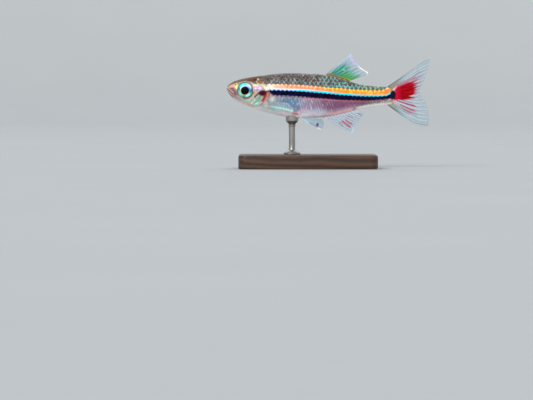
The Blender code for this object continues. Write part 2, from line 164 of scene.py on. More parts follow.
def layered(ground: Colour, *layers: tuple[Colour, Array]) -> Array:
    """Colours with others laid over them in turn.

    Args:
        ground: the lowest colours.
        layers: each one's colours and its mask.

    Returns:
        The colours on top.
    """
    for over, mask in layers:
        ground = mixed(ground, over, mask)
    return ground


def uneven(u: Array, v: Array, size: float, seed: int) -> Array:
    """Smooth uneven values: six crossed sine waves with seeded headings and phases.

    Args:
        u: places along one direction.
        v: places along the other direction.
        size: rough width of a bump, in the same unit.
        seed: picks the pattern.

    Returns:
        Values of about -1 to 1.
    """
    draw = np.random.default_rng(seed)
    total = np.zeros(np.broadcast(u, v).shape)
    for _ in range(6):
        heading, phase = draw.uniform(0, TURN, 2)
        wave = draw.uniform(0.6, 1.5) * math.pi / size
        total = total + np.sin(wave * (u * math.cos(heading) + v * math.sin(heading)) + phase)
    return total / 3.2


def once_round(count: int) -> Array:
    """Headings spread evenly once round."""
    return np.linspace(0, TURN, count, endpoint=False)


def joined(*parts: Array) -> Array:
    """Arrays stretched to one shape and put side by side on a new last axis."""
    return np.stack(np.broadcast_arrays(*parts), axis=-1)


def through(points: Sequence, at: Array, before: Sequence | None = None) -> Array:
    """A Catmull-Rom curve: each stretch is the cubic whose slopes come from the points on either side.

    Args:
        points: the points that the curve passes through.
        at: where to read it, from 0 at the first point to the last point's index.
        before: a point that steers the start. Without it the first stretch is carried straight back.

    Returns:
        The curve's points.
    """
    held = np.asarray(points, float)
    first = 2 * held[0] - held[1] if before is None else np.asarray(before, float)
    held = np.vstack([first, held, 2 * held[-1] - held[-2]])
    place = np.clip(np.asarray(at, float), 0, len(held) - 3)
    start = np.minimum(place.astype(int), len(held) - 4)
    s = (place - start)[..., None]
    a, b, c, d = (held[start + k] for k in range(4))
    return 0.5 * (2 * b + (c - a) * s + (2 * a - 5 * b + 4 * c - d) * s**2 + (3 * b - a - 3 * c + d) * s**3)


def smooth_line(points: Sequence, count: int = 60) -> Array:
    """Points spread evenly by number along the smooth curve through points."""
    return through(points, np.linspace(0, len(points) - 1, count))


def flesh_at(number: Array) -> Array:
    """(behind, back, belly, half breadth) at a station number, rounded over at the snout."""
    behind, back, belly, half = FLESH[1]
    return through(FLESH, number, before=(behind, belly, back, -half))


def station_of(behind: Array) -> Array:
    """The station number at a distance behind the snout, by reading the smooth table backwards."""
    numbers = np.linspace(0, LAST_STATION, 1200)
    return np.interp(behind, flesh_at(numbers)[:, 0], numbers)


def sections(numbers: Array, turn: Array) -> Array:
    """Rounded square sections: sine and cosine raised to 2 over the power, above and below the middle.

    Args:
        numbers: the stations' numbers.
        turn: headings round a section, from the ridge of the back.

    Returns:
        (behind, above, aside) by station and by heading.
    """
    behind, back, belly, half = (v[:, None] for v in flesh_at(numbers).T)
    waves = (np.sin(turn), np.cos(turn))
    across, upward = (np.sign(v) * np.abs(v) ** (2 / SECTION_POWER) for v in waves)
    middle = belly + WIDEST_SHARE * (back - belly)
    reach = np.where(upward > 0, back - middle, middle - belly)
    return joined(behind, middle + reach * upward, half * across)


def belly_at(behind: Array, aside: Array) -> Array:
    """The flesh's underside, from the same rounded square.

    Args:
        behind: places behind the snout.
        aside: how far they lie from the midline.

    Returns:
        Heights above the axis.
    """
    _, back, belly, half = np.moveaxis(flesh_at(station_of(behind)), -1, 0)
    middle = belly + WIDEST_SHARE * (back - belly)
    share = np.clip(np.abs(aside) / half, 0, 1)
    return middle - (middle - belly) * (1 - share**SECTION_POWER) ** (1 / SECTION_POWER)


@dataclass(frozen=True)
class Places:
    """Places on the fish, as arrays of one shape."""

    behind: Array
    above: Array
    aside: Array

    def gap(self, point: Sequence[float]) -> Array:
        """How far they are from a point in side view."""
        return np.hypot(self.behind - point[0], self.above - point[1])

    def flesh(self) -> Array:
        """How far they are under the flesh's ridge and over its floor."""
        _, back, belly, _ = np.moveaxis(flesh_at(station_of(self.behind)), -1, 0)
        return np.stack([back - self.above, self.above - belly])

    def from_line(self, knots: Sequence, count: int) -> tuple[Array, Array]:
        """How far they are in side view from a smooth line: the least of the distances to its stretches.

        Args:
            knots: the points that the line passes through.
            count: how many points it is worked out at.

        Returns:
            The distances, plus on the left hand of the line's run, and shares along the line.
        """
        line = smooth_line(knots, count)
        best, side, share = np.inf, 1.0, 0.0
        for k, (start, end) in enumerate(zip(line[:-1], line[1:])):
            run = end - start
            off_b, off_a = self.behind - start[0], self.above - start[1]
            t = np.clip((off_b * run[0] + off_a * run[1]) / (run @ run), 0, 1)
            gap = np.hypot(off_b - t * run[0], off_a - t * run[1])
            nearer = gap < best
            best = np.where(nearer, gap, best)
            side = np.where(nearer, np.sign(run[0] * off_a - run[1] * off_b), side)
            share = np.where(nearer, (k + t) / (len(line) - 1), share)
        return best * side, share

    def layers(self, *marks: Mark) -> list[tuple[str, Array]]:
        """The colours and masks of some marks, in their order."""
        return [(mark.colour, mark.mask(self)) for mark in marks]


def eye_rim(off_b: Array, off_a: Array) -> Array:
    """How far out the plane of an eye's rim stands, at steps back and up from the eye's middle."""
    return EYE_RIM_ASIDE + EYE_TURN[0] * off_b + EYE_TURN[1] * off_a


@dataclass(frozen=True)
class Fish:
    """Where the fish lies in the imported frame, in metres."""

    snout_x: float
    axis_z: float

    @classmethod
    def from_solids(cls) -> Fish:
        """Reads the snout from the head's solid and the body axis from the top of the trunk's."""
        back = flesh_at(np.linspace(0, LAST_STATION, 3 * LAST_STATION + 1))[:, 1].max()
        return cls(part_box("head")[0].x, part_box("trunk")[1].z - back * MM)

    def place(self, points: Array) -> Array:
        """World points of (behind, above, aside)."""
        return points[..., [0, 2, 1]] * MM + (self.snout_x, 0.0, self.axis_z)


def grid_faces(index: Array) -> Array:
    """Four-cornered faces between neighbours in a grid of point numbers."""
    return np.stack([index[:-1, :-1], index[1:, :-1], index[1:, 1:], index[:-1, 1:]], axis=-1).reshape(-1, 4)


def numbered(rows: int, columns: int) -> Array:
    """The numbers of a grid's points, stored row by row."""
    return np.arange(rows * columns).reshape(rows, columns)


def rim_of(index: Array) -> Array:
    """The point numbers round the rim of a grid of them."""
    return np.concatenate([index[0, :-1], index[:-1, -1], index[-1, :0:-1], index[:0:-1, 0]])


def slab_faces(rows: int, columns: int) -> Array:
    """Faces of two grids, one stored after the other, joined by a wall round their rims.

    Args:
        rows: each grid's rows.
        columns: each grid's columns.

    Returns:
        The faces' point numbers.
    """
    index = numbered(rows, columns)
    rim, front = rim_of(index), grid_faces(index)
    after = np.roll(rim, -1)
    wall = np.stack([rim, rim + index.size, after + index.size, after], axis=1)
    return np.concatenate([front, front[:, ::-1] + index.size, wall])


def closed(first: Sequence, grid: Array, last: Sequence) -> tuple[Array, list[Array]]:
    """A grid whose rows run round, closed at both ends by a fan of triangles to one point.

    Args:
        first: the point before the first row.
        grid: the points, row by row.
        last: the point after the last row.

    Returns:
        All the points in that order, and the faces.
    """
    rows, columns = grid.shape[:2]
    index = numbered(rows, columns) + 1
    wrapped = np.concatenate([index, index[:, :1]], axis=1)
    fans = [
        np.stack([np.zeros(columns, int), wrapped[0, :-1], wrapped[0, 1:]], axis=1),
        np.stack([np.full(columns, index.size + 1), wrapped[-1, 1:], wrapped[-1, :-1]], axis=1),
    ]
    return np.vstack([[first], grid.reshape(-1, 3), [last]]), [grid_faces(wrapped), *fans]


def surface_normals(points: Array) -> Array:
    """Unit normals of a grid of points, from the cross product of its two steps."""
    normal = np.cross(np.gradient(points, axis=0), np.gradient(points, axis=1))
    return normal / np.maximum(np.linalg.norm(normal, axis=-1, keepdims=True), 1e-12)


def mesh_of(name: str, points: Array, faces: Sequence[Array]) -> bpy.types.Mesh:
    """Puts arrays into a mesh.

    Args:
        name: the mesh's name.
        points: the points, in metres.
        faces: point numbers, in one array for each number of corners.

    Returns:
        The mesh.
    """
    mesh = bpy.data.meshes.new(name)
    sizes = np.concatenate([np.full(len(f), f.shape[1]) for f in faces])
    numbers = np.concatenate([f.ravel() for f in faces]).astype(np.int32)
    starts = np.concatenate([[0], np.cumsum(sizes)[:-1]]).astype(np.int32)
    mesh.vertices.add(len(points))
    mesh.vertices.foreach_set("co", points.astype(np.float32).ravel())
    mesh.loops.add(len(numbers))
    mesh.loops.foreach_set("vertex_index", numbers)
    mesh.polygons.add(len(sizes))
    mesh.polygons.foreach_set("loop_start", starts)
    mesh.update(calc_edges=True)
    return mesh


def linked(name: str, data: bpy.types.ID) -> bpy.types.Object:
    """Puts data into the scene.

    Args:
        name: the object's name.
        data: its mesh, lamp or camera.

    Returns:
        The object.
    """
    thing = bpy.data.objects.new(name, data)
    bpy.context.scene.collection.objects.link(thing)
    return thing


@dataclass
class Piece:
    """One visible piece: its points in the world, its faces, and the values painted on its points."""

    name: str
    points: Array
    faces: list[Array]
    paints: dict[str, Array] = field(default_factory=dict)
    unwrap: Array | None = None
    sharp_angle: float | None = None

    def make(self, material: Material, slot: str, *replaces: str) -> None:
        """Puts the piece into the frame, with every face of its closed shells turned outwards.

        Args:
            material: the finish.
            slot: the record's material slot that the finish belongs to; not used.
            replaces: the solids that this piece stands for.
        """
        mesh = mesh_of(self.name, self.points, self.faces)
        outward = bmesh.new()
        outward.from_mesh(mesh)
        bmesh.ops.recalc_face_normals(outward, faces=outward.faces)
        outward.to_mesh(mesh)
        outward.free()
        for key, values in self.paints.items():
            kind, part = ("FLOAT", "value") if values.ndim == 1 else ("FLOAT_COLOR", "color")
            full = values if values.ndim == 1 else np.column_stack([values, np.ones(len(values))])
            layer = mesh.attributes.new(key, kind, "POINT")
            layer.data.foreach_set(part, full.astype(np.float32).ravel())
        if self.unwrap is not None:
            at = np.zeros(len(mesh.loops), np.int32)
            mesh.loops.foreach_get("vertex_index", at)
            unwrap = self.unwrap[at].astype(np.float32).ravel()
            mesh.uv_layers.new(name="OFBake").data.foreach_set("uv", unwrap)
        mesh.shade_smooth()
        if self.sharp_angle is not None:
            mesh.set_sharp_from_angle(angle=self.sharp_angle)
        mesh.materials.append(material)
        thing = linked(self.name, mesh)
        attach(thing, "root")
        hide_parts(*replaces)
        log.info("%s: %d faces", self.name, len(mesh.polygons))


def operator(operation: str, flipped: bool = False) -> Callable[[Sock, Sock | float], Sock]:
    """A method of Sock for one of Python's operators.

    Args:
        operation: the Math node's operation.
        flipped: whether the other value comes first, as in 1 - mask.

    Returns:
        The method.
    """

    def method(self: Sock, other: Sock | float) -> Sock:
        """Adds one Math node."""
        return self.math(operation, other, self) if flipped else self.math(operation, self, other)

    return method


class Sock:
    """One output of a node, on which Python's arithmetic adds Math nodes."""

    __add__, __radd__ = operator("ADD"), operator("ADD", flipped=True)
    __sub__, __rsub__ = operator("SUBTRACT"), operator("SUBTRACT", flipped=True)
    __mul__, __rmul__ = operator("MULTIPLY"), operator("MULTIPLY", flipped=True)
    __truediv__, __pow__ = operator("DIVIDE"), operator("POWER")

    def __init__(self, shader: Shader, socket: bpy.types.NodeSocket) -> None:
        """Keeps the output with the material that it is in."""
        self.shader, self.socket = shader, socket

    def math(self, operation: str, *values: Sock | float) -> Sock:
        """Adds one Math node with these inputs."""
        return self.shader.node("ShaderNodeMath", {"operation": operation}, *values)

    def sine(self) -> Sock:
        """The sine of self."""
        return self.math("SINE", self)

    def bell(self, width: float) -> Sock:
        """A bell curve, 1 at 0 and 1/e at width."""
        return self.math("EXPONENT", self * self * (-1 / width**2))

    def rise(self, low: float, high: float) -> Sock:
        """A smooth step from 0 at low to 1 at high. It falls where low is above high."""
        span = (low, high, 0.0, 1.0) if low < high else (high, low, 1.0, 0.0)
        return self.shader.node("ShaderNodeMapRange", {"interpolation_type": "SMOOTHSTEP"}, self, *span)


class Shader:
    """A material under construction: a Principled shader and the nodes that feed it."""

    def __init__(self, name: str) -> None:
        """Starts an empty material.

        Args:
            name: its name.
        """
        self.material = bpy.data.materials.new(name)
        self.material.use_nodes = True
        self.tree = self.material.node_tree

    def node(self, kind: str, settings: dict | None, *inputs: object, output: int | str = 0) -> Sock:
        """Adds any node.

        Args:
            kind: the node's type.
            settings: its properties, set before its inputs are.
            inputs: values or links for its inputs in order, or (name, value) pairs; None skips one.
            output: which of its outputs to return.

        Returns:
            That output.
        """
        made = self.tree.nodes.new(kind)
        for key, value in (settings or {}).items():
            setattr(made, key, value)
        for number, item in enumerate(inputs):
            if isinstance(item, tuple) and isinstance(item[0], str):
                number, item = item
            self.feed(made.inputs[number], item)
        return Sock(self, made.outputs[output])

    def feed(self, socket: bpy.types.NodeSocket, item: object) -> None:
        """Links an input or sets its value.

        Args:
            socket: the input.
            item: a link, a value or a colour's digits; None leaves the input alone.
        """
        if isinstance(item, Sock):
            self.tree.links.new(item.socket, socket)
        elif item is not None:
            socket.default_value = (*linear(item), 1.0) if isinstance(item, str) else item

    def vector(self, operation: str, *inputs: object, output: int | str = 0) -> Sock:
        """Adds one Vector Math node."""
        return self.node("ShaderNodeVectorMath", {"operation": operation}, *inputs, output=output)

    def painted(self, name: str, colour: bool = False) -> Sock:
        """A value, or a colour, that is painted on the mesh."""
        kind = {"attribute_type": "GEOMETRY", "attribute_name": name}
        return self.node("ShaderNodeAttribute", kind, output="Color" if colour else "Fac")

    def place(self) -> Sock:
        """Object coordinates, in millimetres."""
        return self.vector("SCALE", self.node("ShaderNodeTexCoord", None, output="Object"), ("Scale", 1 / MM))

    def along(self, vector: Sock, way: tuple[float, float, float]) -> Sock:
        """How far a vector reaches in a direction: their dot product."""
        return self.vector("DOT_PRODUCT", vector, way, output="Value")

    def drawn_out(self, vector: Sock, scales: tuple[float, float, float], detail: float) -> Sock:
        """Smooth noise from 0 to 1, with its own scale in each direction."""
        return self.noise(self.vector("MULTIPLY", vector, scales), 1.0, detail)

    def noise(self, vector: Sock, scale: float, detail: float = 2.0) -> Sock:
        """Smooth noise from 0 to 1."""
        return self.node("ShaderNodeTexNoise", None, vector, ("Scale", scale), ("Detail", detail))

    def cells(self, vector: Sock, scale: float) -> Sock:
        """Distance to the nearest of many scattered points, in units of their spacing."""
        return self.node("ShaderNodeTexVoronoi", None, vector, ("Scale", scale), output="Distance")

    def mix(self, under: object, over: object, mask: Sock | float, how: str = "MIX") -> Sock:
        """One colour laid over another by a mask. The colours are the node's seventh and eighth inputs."""
        settings = {"data_type": "RGBA", "blend_type": how, "clamp_factor": True}
        return self.node("ShaderNodeMix", settings, mask, *[None] * 5, under, over, output=2)

    def layered(self, ground: object, *layers: tuple[object, Sock | float]) -> Sock:
        """A colour with others laid over it in turn.

        Args:
            ground: the lowest colour.
            layers: each one's colour and its mask.

        Returns:
            The colour on top.
        """
        for over, mask in layers:
            ground = self.mix(ground, over, mask)
        return ground

    def bump(self, height: Sock, distance: float) -> Sock:
        """A normal raised by a height, where distance is in millimetres."""
        sockets = [("Strength", 1.0), ("Distance", distance * MM), ("Height", height)]
        return self.node("ShaderNodeBump", None, *sockets)

    def finish(self, **sockets: object) -> Material:
        """Sets or links the Principled shader's sockets.

        Args:
            sockets: their values, by their names in lower case with underscores.

        Returns:
            The material.
        """
        inputs = self.tree.nodes["Principled BSDF"].inputs
        named = {socket.name.lower().replace(" ", "_"): socket for socket in inputs}
        for key, item in sockets.items():
            self.feed(named[key], item)
        return self.material


@dataclass(frozen=True)
class SkinFinish:
    """Wet skin and scales: painted ground, drawn stripes, dark dots, pearly flecks and a clear slime coat.

    The mesh carries its levels over the stripes' edges, so that the stripes stay sharp on few faces.
    """

    dot_spacing: float = 0.075
    fleck_spacing: float = 0.17
    dot_colour: str = "1c1512"
    fleck_colour: str = "c4f4f0"
    coat: float = 0.60
    rings_per_mm: float = 150.0
    streak_spacing: float = 0.36

    def build(self, name: str) -> Material:
        """Reads what Markings.paints and Scales paint on the mesh.

        Args:
            name: the material's name.

        Returns:
            The material.
        """
        s = Shader(name)
        place, behind, cover = s.place(), s.painted("behind"), s.painted("cover")
        colour, black = self._stripes(s, self._ornament(s, place), place, behind)
        colour = s.mix(colour, "000000", cover)
        colour = s.mix(colour, s.painted("over", colour=True), 1.0, "ADD")
        colour, arc, rings = self._scale(s, colour, place, behind)

        pearl = s.painted("pearl") * (1 - black * (1 - cover)) + arc * 0.3
        patchy, fine = s.noise(place, 1.6, 3.0), s.noise(place, 9.0)
        pigment = s.painted("pigment") * (patchy * 0.9 + 0.35)
        dots = s.cells(place, 1 / self.dot_spacing).rise(0.42, 0.18) * pigment
        flecks = s.cells(place, 1 / self.fleck_spacing).rise(0.34, 0.10) * pearl * (fine * 1.3 - 0.1)
        base = s.mix(colour, s.mix("3c3c3c", "ffffff", fine), 0.22, "OVERLAY")
        base = s.layered(base, (self.dot_colour, dots * 0.85), (self.fleck_colour, flecks * 0.75))
        return s.finish(
            base_color=base,
            roughness=0.38 - pearl * 0.12 + fine * 0.08,
            metallic=pearl * 0.25,
            specular_ior_level=0.05,
            coat_weight=pearl * self.coat + 0.02,
            coat_roughness=0.10,
            coat_ior=1.30,
            normal=s.bump(fine * 0.5 + rings * 0.22 - dots * 0.2, 0.012),
        )

    def _ornament(self, s: Shader, place: Sock) -> Sock:
        """The painted ground with its pale leaning streaks, its specks, and the painted glints of light on
        the tail's stalk.

        Args:
            s: the material.
            place: the place on the fish.

        Returns:
            The colour.
        """
        streaks, specks, painted_glints = (
            s.node("ShaderNodeSeparateColor", None, s.painted("ornament", colour=True), output=k)
            for k in range(3)
        )
        lean = s.along(place, (1.0, 0.0, 0.3))
        drawn = s.node("ShaderNodeCombineXYZ", None, lean * 3.2, s.along(place, (0.0, 0.0, 0.9)), 0.0)
        comb = (lean * (TURN / self.streak_spacing)).sine() * 0.45
        waves = (s.noise(drawn, 1.0, 1.0) - 0.5) * 2.8 + comb
        mottle = s.drawn_out(place, (3.0, 3.0, 2.1), 1.0)
        colour = s.layered(
            s.painted("paint", colour=True),
            ("ccc4d4", waves.rise(0.05, 0.80) * streaks),
            ("a4d4e2", mottle.rise(0.52, 0.74) * specks),
            ("5c6484", mottle.rise(0.46, 0.28) * specks * 0.5),
        )
        dapple = s.drawn_out(place, (4.6, 4.6, 2.4), 1.0)
        colour = s.mix(colour, s.mix("7c7c7c", "f0f0f0", dapple), 0.60, "OVERLAY")
        # Painted highlights: white glints of light on the silver of the tail's stalk.
        return s.mix(colour, "e4ecf0", s.noise(place, 4.4, 1.0).rise(0.52, 0.66) * painted_glints)

    @staticmethod
    def _teeth(behind: Sock, shift: float) -> Sock:
        """The scalloped edge that the scales give a stripe: round arches, one a scale, with sharp dips."""
        wave = (behind * (math.pi / SCALE_PITCH) + math.pi * shift).sine()
        return (wave * wave) ** 0.35

    def _stripes(self, s: Shader, colour: Sock, place: Sock, behind: Sock) -> tuple[Sock, Sock]:
        """Lays the gold, cyan and black stripes over a colour.

        Args:
            s: the material.
            colour: what lies under the stripes.
            place: the place on the fish.
            behind: its distance behind the snout.

        Returns:
            The colour, and the mask of the black stripe.
        """
        rear = behind.rise(11.0, 17.0)
        tooth = 1 - self._teeth(behind, 0.0)
        edge = s.painted("gold_top") - (tooth - 0.45) * 0.15
        under = s.painted("gold_low") - (self._teeth(behind, 0.35) - 0.5) * 0.04
        deep = behind.rise(11.0, 8.0) * 0.05 + 0.10
        cyan = s.painted("black_top") - (self._teeth(behind, 0.3) - 0.5) * deep
        fringe = s.painted("black_low") + (self._teeth(behind, 0.6) - 0.5) * 0.07

        grain = s.noise(place, 3.6, 1.0)
        crest = (edge + 0.13).bell(0.16) * tooth.rise(0.15, 0.75)
        rim = (under / (0.24 - rear * 0.13)).rise(1.0, 0.0) * (1 - rear * 0.3)
        gold = s.layered(
            s.mix("ff8e66", "ff8a2a", rear),
            ("ffd8cc", behind.rise(9.0, 6.4) * 0.8),
            ("fff4f0", behind.rise(7.2, 6.0) * 0.6),
            (s.mix("f4804a", "ee7a1c", rear), grain.rise(0.50, 0.74) * 0.5),
            (s.mix("ffe2c0", "ffd448", rear), grain.rise(0.50, 0.28) * (rear * 0.35 + 0.5) + rear * 0.12),
            (s.mix("ffe890", "fff24e", rear), crest),
            (s.mix("fff6f2", "ffd890", rear), rim),
        )
        bright = s.layered(
            s.mix("c4ecff", "00e8ff", behind.rise(8.0, 11.0)),
            ("ffffff", behind.rise(10.4, 7.4) * (1 - tooth) * 0.8),
            ("149cf4", cyan.bell(0.10) * behind.rise(12.0, 9.0) * 0.9),
        )
        fade = behind.rise(9.0, 12.5) * (1 - behind.rise(17.0, 20.0) * 0.6)
        hang = behind.rise(12.5, 11.0)
        wine = (fringe + 0.04 + hang * 0.05).bell(0.11) * cyan.rise(0.0, -0.3)
        dark = s.mix("000010", "0a0440", s.noise(place, 2.4, 1.0).rise(0.35, 0.65))
        black = cyan.rise(0.02, -0.03) * fringe.rise(-0.05, 0.02)
        colour = s.layered(
            colour,
            (gold, edge.rise(0.03, -0.02) * under.rise(-0.03, 0.02)),
            (bright, under.rise(0.02, -0.03) * cyan.rise(-0.03, 0.02)),
            ("ab8a80", behind.rise(23.60, 23.74)),
            ("cf8086", (fringe + 0.17).bell(0.09) * fade * 0.75),
            ("5c0c20", wine * (1 - hang * self._teeth(behind, 0.1) * 0.55)),
            (s.mix(dark, "0a4cc0", cyan.bell(0.035) * 0.8), black),
        )
        return colour, black

    def _scale(self, s: Shader, colour: Sock, place: Sock, behind: Sock) -> tuple[Sock, Sock, Sock]:
        """What each scale has of its own: on the back a dark middle and a broken pale arc, and a tone.

        Args:
            s: the material.
            colour: what lies under these.
            place: the place on the fish.
            behind: its distance behind the snout.

        Returns:
            The colour, the mask of the pale arcs, and the height of the fine growth rings.
        """
        root, across, own, scaled, over = (
            s.painted(key) for key in ("root", "across", "own", "scaled", "gold_top")
        )
        on_back = over.rise(0.02, 0.20) * scaled
        rear, near = behind.rise(11.5, 16.5), over.rise(1.1, 0.1)
        reach = self._length((root - 0.30) / 0.70, across * 0.85)
        broken = (s.noise(place, 3.4, 1.0) - 0.5) * 2.0 + 0.5 + (own - 0.5) * 0.25 + rear * near * 0.25
        arc = (reach - 0.77).bell(0.20) * broken.rise(0.40, 0.66) * on_back
        pale = s.layered(
            s.mix("a2b6ba", "7fd6d8", rear),
            ("8fb8c8", near * (1 - rear) * 0.5),
            ("a4caa4", behind.rise(17.5, 20.5) * 0.7),
        )
        freckle = s.noise(place, 4.8, 1.0).rise(0.52, 0.68) * on_back * (1 - rear * 0.6)
        colour = s.layered(
            colour,
            ("3c2a26", (reach - 0.28).bell(0.34) * on_back * 0.55),
            (pale, freckle * 0.38),
            (pale, arc * (behind.rise(9.0, 13.0) * 0.12 + rear * near * 0.18 + 0.52)),
            ("2a2220", (reach - 1.04).bell(0.09) * on_back * 0.30),
        )
        tone = 1 + (own - 0.5) * (on_back * 0.40 + 0.14) * scaled
        growth = self._length((root - 0.25) * 0.86, across * 0.58)
        rings = ((growth * self.rings_per_mm).sine() * 0.5 + 0.5) * scaled
        return s.vector("SCALE", colour, ("Scale", tone)), arc, rings

    @staticmethod
    def _length(x: Sock, y: Sock) -> Sock:
        """The length of two sides of a right angle."""
        return (x * x + y * y) ** 0.5


@dataclass(frozen=True)
class EyeFinish:
    """A wet eye: painted iris with fine radial threads under a hard, clear gloss."""

    def build(self, name: str) -> Material:
        """Reads the paints paint, pearl, round and out.

        Args:
            name: the material's name.

        Returns:
            The material.
        """
        s = Shader(name)
        threads = s.node("ShaderNodeCombineXYZ", None, s.painted("round") * 9.0, s.painted("out") * 1.2, 0.0)
        streak, fine, pearl = s.noise(threads, 2.4, 3.0), s.noise(s.place(), 14.0), s.painted("pearl")
        grain = s.mix("303030", "ffffff", streak)
        return s.finish(
            base_color=s.mix(s.painted("paint", colour=True), grain, pearl * 0.4, "OVERLAY"),
            roughness=0.30 - pearl * 0.08 + fine * 0.05,
            metallic=pearl * 0.20,
            specular_ior_level=0.03,
            coat_weight=0.24,
            coat_roughness=0.03,
            coat_ior=1.25,
            normal=s.bump(streak * pearl, 0.01),
        )


@dataclass(frozen=True)
class FinFinish:
    """Clear fin membrane over jointed rays, painted with its colour and how dense it is."""

    joint_spacing: float = 0.16

    def build(self, name: str) -> Material:
        """Reads the paints paint, dense, ray and along.

        Args:
            name: the material's name.

        Returns:
            The material.
        """
        s = Shader(name)
        fine = s.noise(s.place(), 12.0)
        waves = (s.painted("along") * (TURN / self.joint_spacing)).sine()
        joint = waves.rise(0.55, 0.95) * s.painted("ray")
        grain = s.mix("404040", "ffffff", fine)
        base = s.mix(s.painted("paint", colour=True), grain, 0.25, "OVERLAY")
        return s.finish(
            base_color=s.mix(base, "4a4440", joint * 0.45, "MULTIPLY"),
            roughness=0.30 + fine * 0.10,
            alpha=s.painted("dense") * (0.86 + fine * 0.28) + joint * 0.06,
            specular_ior_level=0.03,
            coat_weight=0.03,
            coat_roughness=0.08,
            normal=s.bump(fine * 0.4 - joint * 0.8, 0.010),
        )


@dataclass(frozen=True)
class WoodFinish:
    """Dark oiled hardwood with growth rings along its length and open pores.

    The rings are circles round a line well under the base, bent by slow noise.
    """

    pale: str = "5a3a24"
    dark: str = "24140c"
    pith: tuple[float, float, float] = (0.3, 2.2, 7.5)

    def build(self, name: str) -> Material:
        """Makes the wood.

        Args:
            name: the material's name.

        Returns:
            The material.
        """
        s = Shader(name)
        place = s.place()
        offset = s.vector("ADD", s.vector("MULTIPLY", place, (0.018, 1.0, 1.0)), self.pith)
        radius = s.vector("LENGTH", offset, output="Value")
        bend = s.drawn_out(place, (0.05, 0.35, 0.35), 3.0)
        rings = ((radius + bend * 2.1) * 7.5).sine() * 0.5 + 0.5
        pores = s.drawn_out(place, (1.1, 16.0, 16.0), 2.0).rise(0.62, 0.76)
        figure = s.drawn_out(place, (0.12, 0.9, 0.9), 4.0)
        base = s.mix(self.dark, self.pale, rings * 0.65 + figure * 0.35)
        return s.finish(
            base_color=s.mix(base, "120a06", pores * 0.55),
            roughness=0.38 + rings * 0.10 + pores * 0.2,
            coat_weight=0.12,
            coat_roughness=0.25,
            normal=s.bump(rings * 0.3 - pores, 0.03),
        )


@dataclass(frozen=True)
class SteelFinish:
    """Satin steel with fine marks from turning: noise stretched round the rod, so it varies up its length."""

    pale: str = "b9b6b0"
    dark: str = "7d7b78"

    def build(self, name: str) -> Material:
        """Makes the steel.

        Args:
            name: the material's name.

        Returns:
            The material.
        """
        s = Shader(name)
        place = s.place()
        turned, smudge = s.drawn_out(place, (0.4, 0.4, 26.0), 3.0), s.noise(place, 1.3, 3.0)
        return s.finish(
            base_color=s.mix(self.pale, self.dark, turned * 0.30 + smudge * 0.2),
            metallic=1.0,
            roughness=0.22 + turned * 0.14 + smudge * 0.08,
            normal=s.bump(turned, 0.006),
        )


@dataclass(frozen=True)
class Patch:
    """A soft oval of colour in side view."""

    behind: float
    above: float
    length: float
    height: float
    colour: str
    strength: float = 1.0
    tilt: float = 0.0
    soft: float = 0.45

    def mask(self, at: Places) -> Array:
        """How strong the oval is: all of its strength inside, fading to 0 over its soft edge.

        Args:
            at: the places to work it out for.

        Returns:
            Their mask.
        """
        turn = math.radians(self.tilt)
        off_b, off_a = at.behind - self.behind, at.above - self.above
        u = (off_b * math.cos(turn) + off_a * math.sin(turn)) / self.length
        v = (off_a * math.cos(turn) - off_b * math.sin(turn)) / self.height
        return self.strength * (1 - rise(1 - self.soft, 1 + self.soft, np.hypot(u, v)))


@dataclass(frozen=True)
class Streak:
    """A soft line of colour in side view."""

    line: tuple
    width: float
    colour: str
    strength: float = 1.0

    def mask(self, at: Places) -> Array:
        """How strong the line is: it fades sideways as a bell curve, and at its ends.

        Args:
            at: the places to work it out for.

        Returns:
            Their mask.
        """
        gap, share = at.from_line(self.line, 14)
        ends = rise(0.0, 0.12, share) * rise(1.0, 0.88, share) if len(self.line) > 2 else 1.0
        return self.strength * bell(gap, self.width) * ends


Mark = Patch | Streak


class Contour:
    """A level along the body: a smooth curve through knots of (behind, above)."""

    def __init__(self, *knots: tuple[float, float]) -> None:
        """Works the curve out once."""
        self.points = smooth_line(knots, 200)

    def at(self, behind: Array) -> Array:
        """The curve's height at a distance behind the snout."""
        return np.interp(behind, self.points[:, 0], self.points[:, 1])


# The dark marks on the gill cover and at the root of the tail, which have no pearly flecks
PLUM_BLOTCH = Patch(5.20, 0.27, 0.64, 0.40, "420a1c", 1.0, 0, 0.28)
TAIL_SPOT = Patch(23.97, 0.06, 0.42, 0.58, "1e0e26", 1.0, 0, 0.14)
# Marks that lie over the end of the flesh and the foot of the tail fin alike
TAIL_ROOT_MARKS = (
    Patch(23.92, 1.20, 0.46, 0.17, "8f9a86", 0.95, 38),
    Patch(24.28, 0.98, 0.42, 0.15, "f8a8a0", 0.9, 52),
    Patch(24.07, 0.80, 0.11, 0.09, "fff0ee", 0.9),
    Patch(24.26, -1.06, 0.40, 0.17, "ee9ca2", 0.9, -48),
    Patch(24.08, -0.90, 0.12, 0.09, "ffdcdc", 0.8),
    TAIL_SPOT,
)
